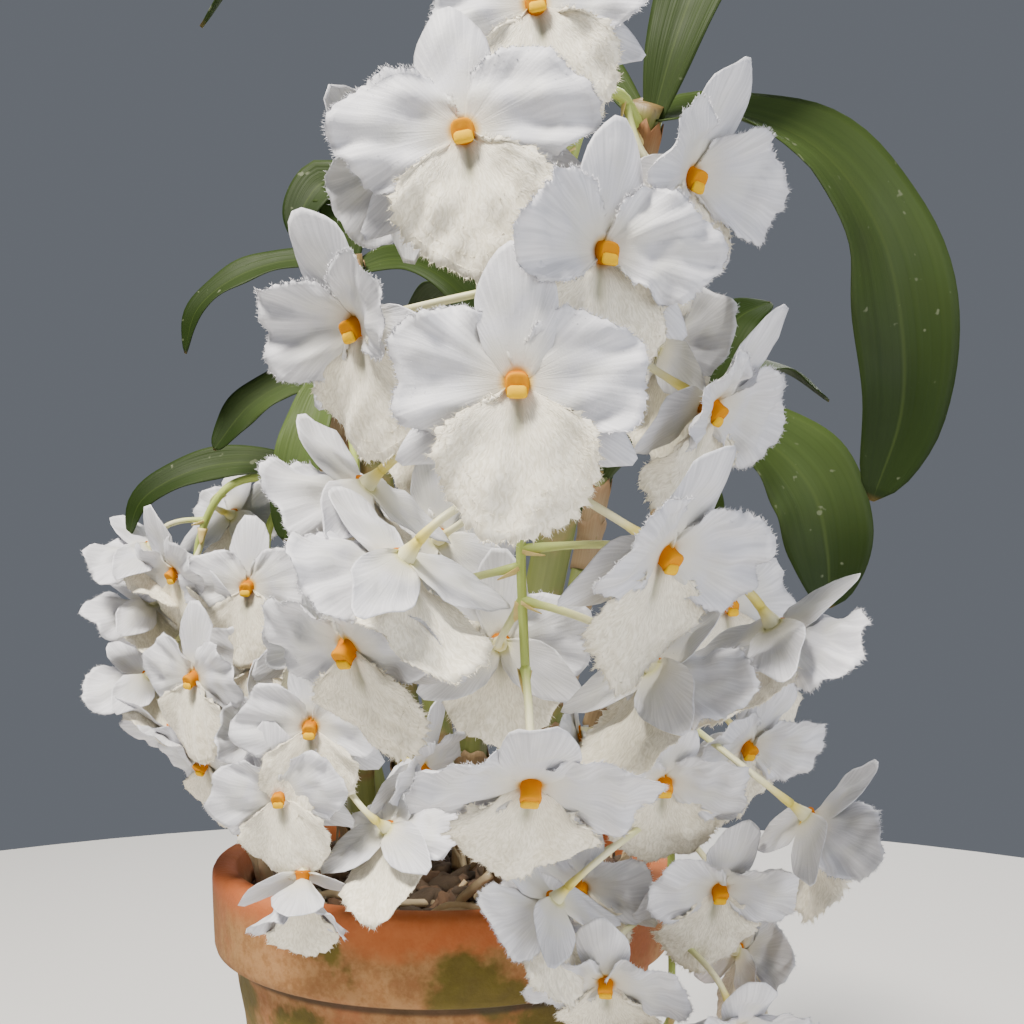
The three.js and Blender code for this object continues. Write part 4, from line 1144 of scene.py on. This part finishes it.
def cane(form, path, leaves, rng, brown):
    """A four-angled stem with its nodes, dry sheaths and leaves. The top sheath is as brown as is given."""
    line = Path(path)
    share = np.linspace(0, 1, CANE["rings"])
    nodes = max(4, round(line.length / CANE["node_every"]))
    node = ease(0.86, 1.0, np.abs(((share * nodes) % 1) - 0.5) * 2)[:, None]
    section = (0.9 + 0.09 * np.cos(4 * around(CANE["sides"]))) * (1 + 0.05 * node)
    form.tube(line.at(share), cane_radius(share), "cane", CANE["sides"], section, near=node * 0.8)
    for k in range(nodes - 1):
        if k < 2 or rng.random() < 0.45:
            start = (k + 0.5) / nodes
            sheath(form, line, start, start + rng.uniform(0.6, 0.95) / nodes, rng, rng.uniform(0, 0.5))
    if leaves:
        sheath(form, line, 1 - 1.1 / nodes, 0.995, rng, brown)
    for one in leaves:
        leaf(form, one, rng)


def lathe(section, sides):
    """Points turned round the Z axis"""
    radius, high = np.array(section, float).T[..., None]
    angle = around(sides)
    return np.stack([radius * np.cos(angle), radius * np.sin(angle), high + 0 * angle], -1)


def pot_section():
    """The pot's wall, from the foot up the outside, over the rim and down the inside"""
    height, rim, foot, wall, floor = (POT[key] for key in ("height", "rim", "foot", "wall", "floor"))
    shoulder = height - POT["collar"]
    body = rim - POT["collar_step"] - 2
    outer = [(foot - 2, 0), (foot - 0.6, 0.5), (foot, 2)]
    for k in range(1, POT["rings"]):
        share = k / POT["rings"]
        turned = 0.12 * math.sin(k * 2.1)
        outer.append((foot + (body - foot) * share + turned, 2 + (shoulder - 4) * share))
    collar = [(rim - inset, shoulder + rise) for inset, rise in COLLAR]
    inner = [(rim - wall, height - 5), (body - wall, shoulder), (foot - wall + 3.5, floor + 3)]
    return [*outer, *collar, *inner, (foot - wall, floor + 0.4)]


def drill_drains(made):
    """Cuts the drain holes through the pot's floor"""
    drain = POT["drain"]
    for k in range(drain["count"]):
        angle = math.tau * (k + 0.5) / drain["count"]
        bpy.ops.mesh.primitive_cylinder_add(
            vertices=drain["sides"],
            radius=drain["radius"] * MM,
            depth=3 * POT["floor"] * MM,
            location=tuple(polar(angle, drain["ring"], 0) * MM),
        )
        drill = bpy.context.object
        cut = made.modifiers.new("drain", "BOOLEAN")
        cut.operation = "DIFFERENCE"
        cut.solver = "EXACT"
        cut.object = drill
        bpy.context.view_layer.objects.active = made
        bpy.ops.object.modifier_apply(modifier=cut.name)
        bpy.data.objects.remove(drill)


def pot():
    """The clay pot: a turned shell, a little out of round, with rounded edges and drain holes"""
    rng = np.random.default_rng([SEED, 1])
    section = pot_section()
    angle = around(POT["sides"])
    wobble = sum(POT["wobble"] / turns * np.cos(turns * angle + rng.uniform(0, 6.3)) for turns in (2, 3, 5))
    ring = lathe(section, POT["sides"])
    ring[..., 0] += wobble * np.cos(angle)
    ring[..., 1] += wobble * np.sin(angle)
    form = Form()
    form.rings(ring, "terracotta", ends=[(0, 0, 0), (0, 0, POT["floor"])])
    drill_drains(form.piece("clay_pot", "terracotta", "pot"))


def mound(reach):
    """How much higher the mix stands at a distance from the pot's axis than at its edge"""
    return MIX["mound"] * (1 - (reach / MIX["edge"]) ** 2)


def leaning(rng, spread, high):
    return np.array([rng.normal(0, spread), rng.normal(0, spread), high])


def turn_matrix(rng, tilt):
    a, b, c = rng.uniform(-tilt, tilt), rng.uniform(-tilt, tilt), rng.uniform(0, math.tau)
    x = np.array([[1, 0, 0], [0, math.cos(a), -math.sin(a)], [0, math.sin(a), math.cos(a)]])
    y = np.array([[math.cos(b), 0, math.sin(b)], [0, 1, 0], [-math.sin(b), 0, math.cos(b)]])
    z = np.array([[math.cos(c), -math.sin(c), 0], [math.sin(c), math.cos(c), 0], [0, 0, 1]])
    return x @ y @ z


def mix_bed(form, rng):
    """The mix's own body, with a rough top"""
    floor = POT["foot"] - POT["wall"] - 1
    shoulder = (MIX["shoulder"], POT["height"] - POT["collar"])
    section = [(floor, POT["floor"] + 0.6), (floor + 3.5, POT["floor"] + 3.4), shoulder]
    for share in np.linspace(1, 0.03, MIX["rings"]):
        reach = MIX["edge"] * share
        section.append((reach, MIX["top"] - 3 + mound(reach)))
    bed = lathe(section, MIX["sides"])
    bed[3:, :, 2] += rng.normal(0, 0.5, bed[3:, :, 2].shape)
    form.rings(bed, "bark", tone=rng.random(bed.shape[:2]) * 0.3)


def chips(form, rng):
    """Ragged blocks of bark all over the bed"""
    wide, deep = rounded_square(around(10), 5)
    high, width = np.array([(-1, 0.7), (-0.75, 1), (0.1, 1.04), (0.75, 0.95), (1, 0.6)]).T[..., None]
    block = np.stack([width * wide, width * deep, high + 0 * wide], -1)
    for k in range(MIX["chips"]):
        reach = (MIX["edge"] - 6) * math.sqrt((k + 0.5) / MIX["chips"])
        size = np.array([rng.uniform(3, 9), rng.uniform(2, 5), rng.uniform(1.2, 2.8)])
        top = MIX["top"] - 1 + mound(reach)
        centre = polar(k * GOLDEN_ANGLE, reach, top + rng.uniform(-1, 1.6))
        turned = turn_matrix(rng, 0.7)
        tone = rng.random() ** 2
        rough = block + rng.normal(0, 0.1, block.shape)
        form.rings(centre + (rough * size) @ turned, "bark", tone=tone)


def stubs(form, rng):
    for path, radius in STUBS:
        rough = 1 + rng.normal(0, 0.05, (16, 10))
        route = Path(path).at(np.linspace(0, 1, 16))
        form.tube(route, radius, "root", section=rough, tone=rng.uniform(0, 0.35))


def sticks(form, rng):
    """Short dry sticks that stand in the mix"""
    share = np.linspace(0, 1, 8)[:, None]
    for _ in range(MIX["sticks"]):
        angle = rng.uniform(0, math.tau)
        foot = polar(angle, MIX["edge"] - 5 - rng.uniform(0, 50), MIX["top"] - 4)
        lean, bend = leaning(rng, 0.35, 1), leaning(rng, 0.2, 0)
        route = foot + rng.uniform(9, 26) * (lean * share + bend * share**2)
        form.tube(route, rng.uniform(0.5, 1.3), "root", sides=7, tone=rng.random() * 0.5)


def roots(form, rng):
    """Roots that wander over the mix"""
    for _ in range(MIX["roots"]):
        angle = rng.uniform(0, math.tau)
        reach = rng.uniform(20, MIX["edge"] - 8)
        turn = rng.uniform(-1.4, 1.4)
        spots = []
        for _ in range(5):
            spots.append(polar(angle, reach, MIX["top"] + rng.uniform(1, 5)))
            angle += turn * 0.16
            reach = min(MIX["edge"] - 4, reach + rng.uniform(-5, 6))
        route = Path(spots).at(np.linspace(0, 1, 26))
        form.tube(route, rng.uniform(0.7, 1.5), "root", sides=8, tone=rng.random())


def moss(form, rng):
    """Tufts of moss near the pot's wall"""
    for _ in range(MIX["tufts"]):
        angle = rng.uniform(0, math.tau)
        foot = polar(angle, MIX["edge"] - rng.uniform(2, 26), MIX["top"])
        for _ in range(MIX["blades"]):
            way = unit(leaning(rng, 0.6, 1))
            start = foot + leaning(rng, 2, 0)
            route = start + way * np.linspace(0, rng.uniform(2.5, 5), 4)[:, None]
            form.tube(route, [0.35, 0.5, 0.4, 0.05], "moss", sides=3)


def mix():
    """The mound of potting mix with its bark chips, roots, dry stubs and moss"""
    rng = np.random.default_rng([SEED, 2])
    form = Form()
    for part in (mix_bed, chips, stubs, sticks, roots, moss):
        part(form, rng)
    form.piece("bark_mix", "bark", "potting_mix")


def plant():
    """The canes with their leaves, and the stalks with their blooms"""
    for k, (name, (path, *leaves)) in enumerate(CANES.items()):
        form = Form()
        brown = 1.0 if name == "front" else 0.4
        cane(form, path, leaves, np.random.default_rng([SEED, 3, k]), brown)
        form.piece(f"leafy_cane_{name}", "leaf", f"cane_{name}")
    for k, (name, (path, *blooms)) in enumerate(STALKS.items()):
        form = Form()
        stalk(form, path, blooms, np.random.default_rng([SEED, 4, k]))
        if name not in HIDDEN:
            for i, place in enumerate(blooms):
                bloom(form, place, np.random.default_rng([SEED, 5, k, i]), COARSE)
            form.piece(f"flower_spray_{name}", "bloom", f"spray_{name}")
            continue
        form.piece(f"flower_stalk_{name}", "stalk", f"stalk_{name}")
        for i, place in enumerate(blooms):
            number = i + 1
            one = Form()
            detail = COARSE if number in HIDDEN[name] else FINE
            bloom(one, place, np.random.default_rng([SEED, 5, k, i]), detail)
            one.piece(f"orchid_bloom_{name}_{number:02d}", "bloom", f"bloom_{name}_{number:02d}")


def studio():
    """A round pale floor and soft lights"""
    rim = [tuple(polar(turn, STUDIO["radius"], 0)) for turn in around(STUDIO["sides"])]
    mesh = bpy.data.meshes.new("studio_floor")
    mesh.from_pydata(rim, [], [tuple(range(STUDIO["sides"]))])
    floor = bpy.data.objects.new("studio_floor", mesh)
    bpy.context.scene.collection.objects.link(floor)
    look = Finish("studio_paper", 0.9)
    look.colour(look.blend(look.noise(3, 2), (0.74, 0.73, 0.71), (0.77, 0.76, 0.74)))
    mesh.materials.append(look.material)
    for name, where, size, power, tint in LIGHTS:
        light = bpy.data.lights.new(name, "AREA")
        light.size = size
        light.energy = power
        light.color = tint
        lamp = bpy.data.objects.new(name, light)
        lamp.location = where
        aim = Vector(STUDIO["aim"]) - Vector(where)
        lamp.rotation_euler = aim.to_track_quat("-Z", "Y").to_euler()
        bpy.context.scene.collection.objects.link(lamp)
    world = bpy.data.worlds.new("studio")
    world.use_nodes = True
    sky = world.node_tree.nodes["Background"]
    sky.inputs["Color"].default_value = STUDIO["sky"]
    sky.inputs["Strength"].default_value = STUDIO["strength"]
    bpy.context.scene.world = world


def camera():
    data = bpy.data.cameras.new("camera")
    data.sensor_width = SENSOR
    data.lens = PHOTO["focal"] * SENSOR / PHOTO["width"]
    made = bpy.data.objects.new("camera", data)
    made.location = Vector(PHOTO["camera"]) * MM
    made.rotation_euler = (math.radians(90 + PHOTO["pitch"]), 0, 0)
    bpy.context.scene.collection.objects.link(made)
    bpy.context.scene.camera = made


camera()
studio()
pot()
mix()
plant()
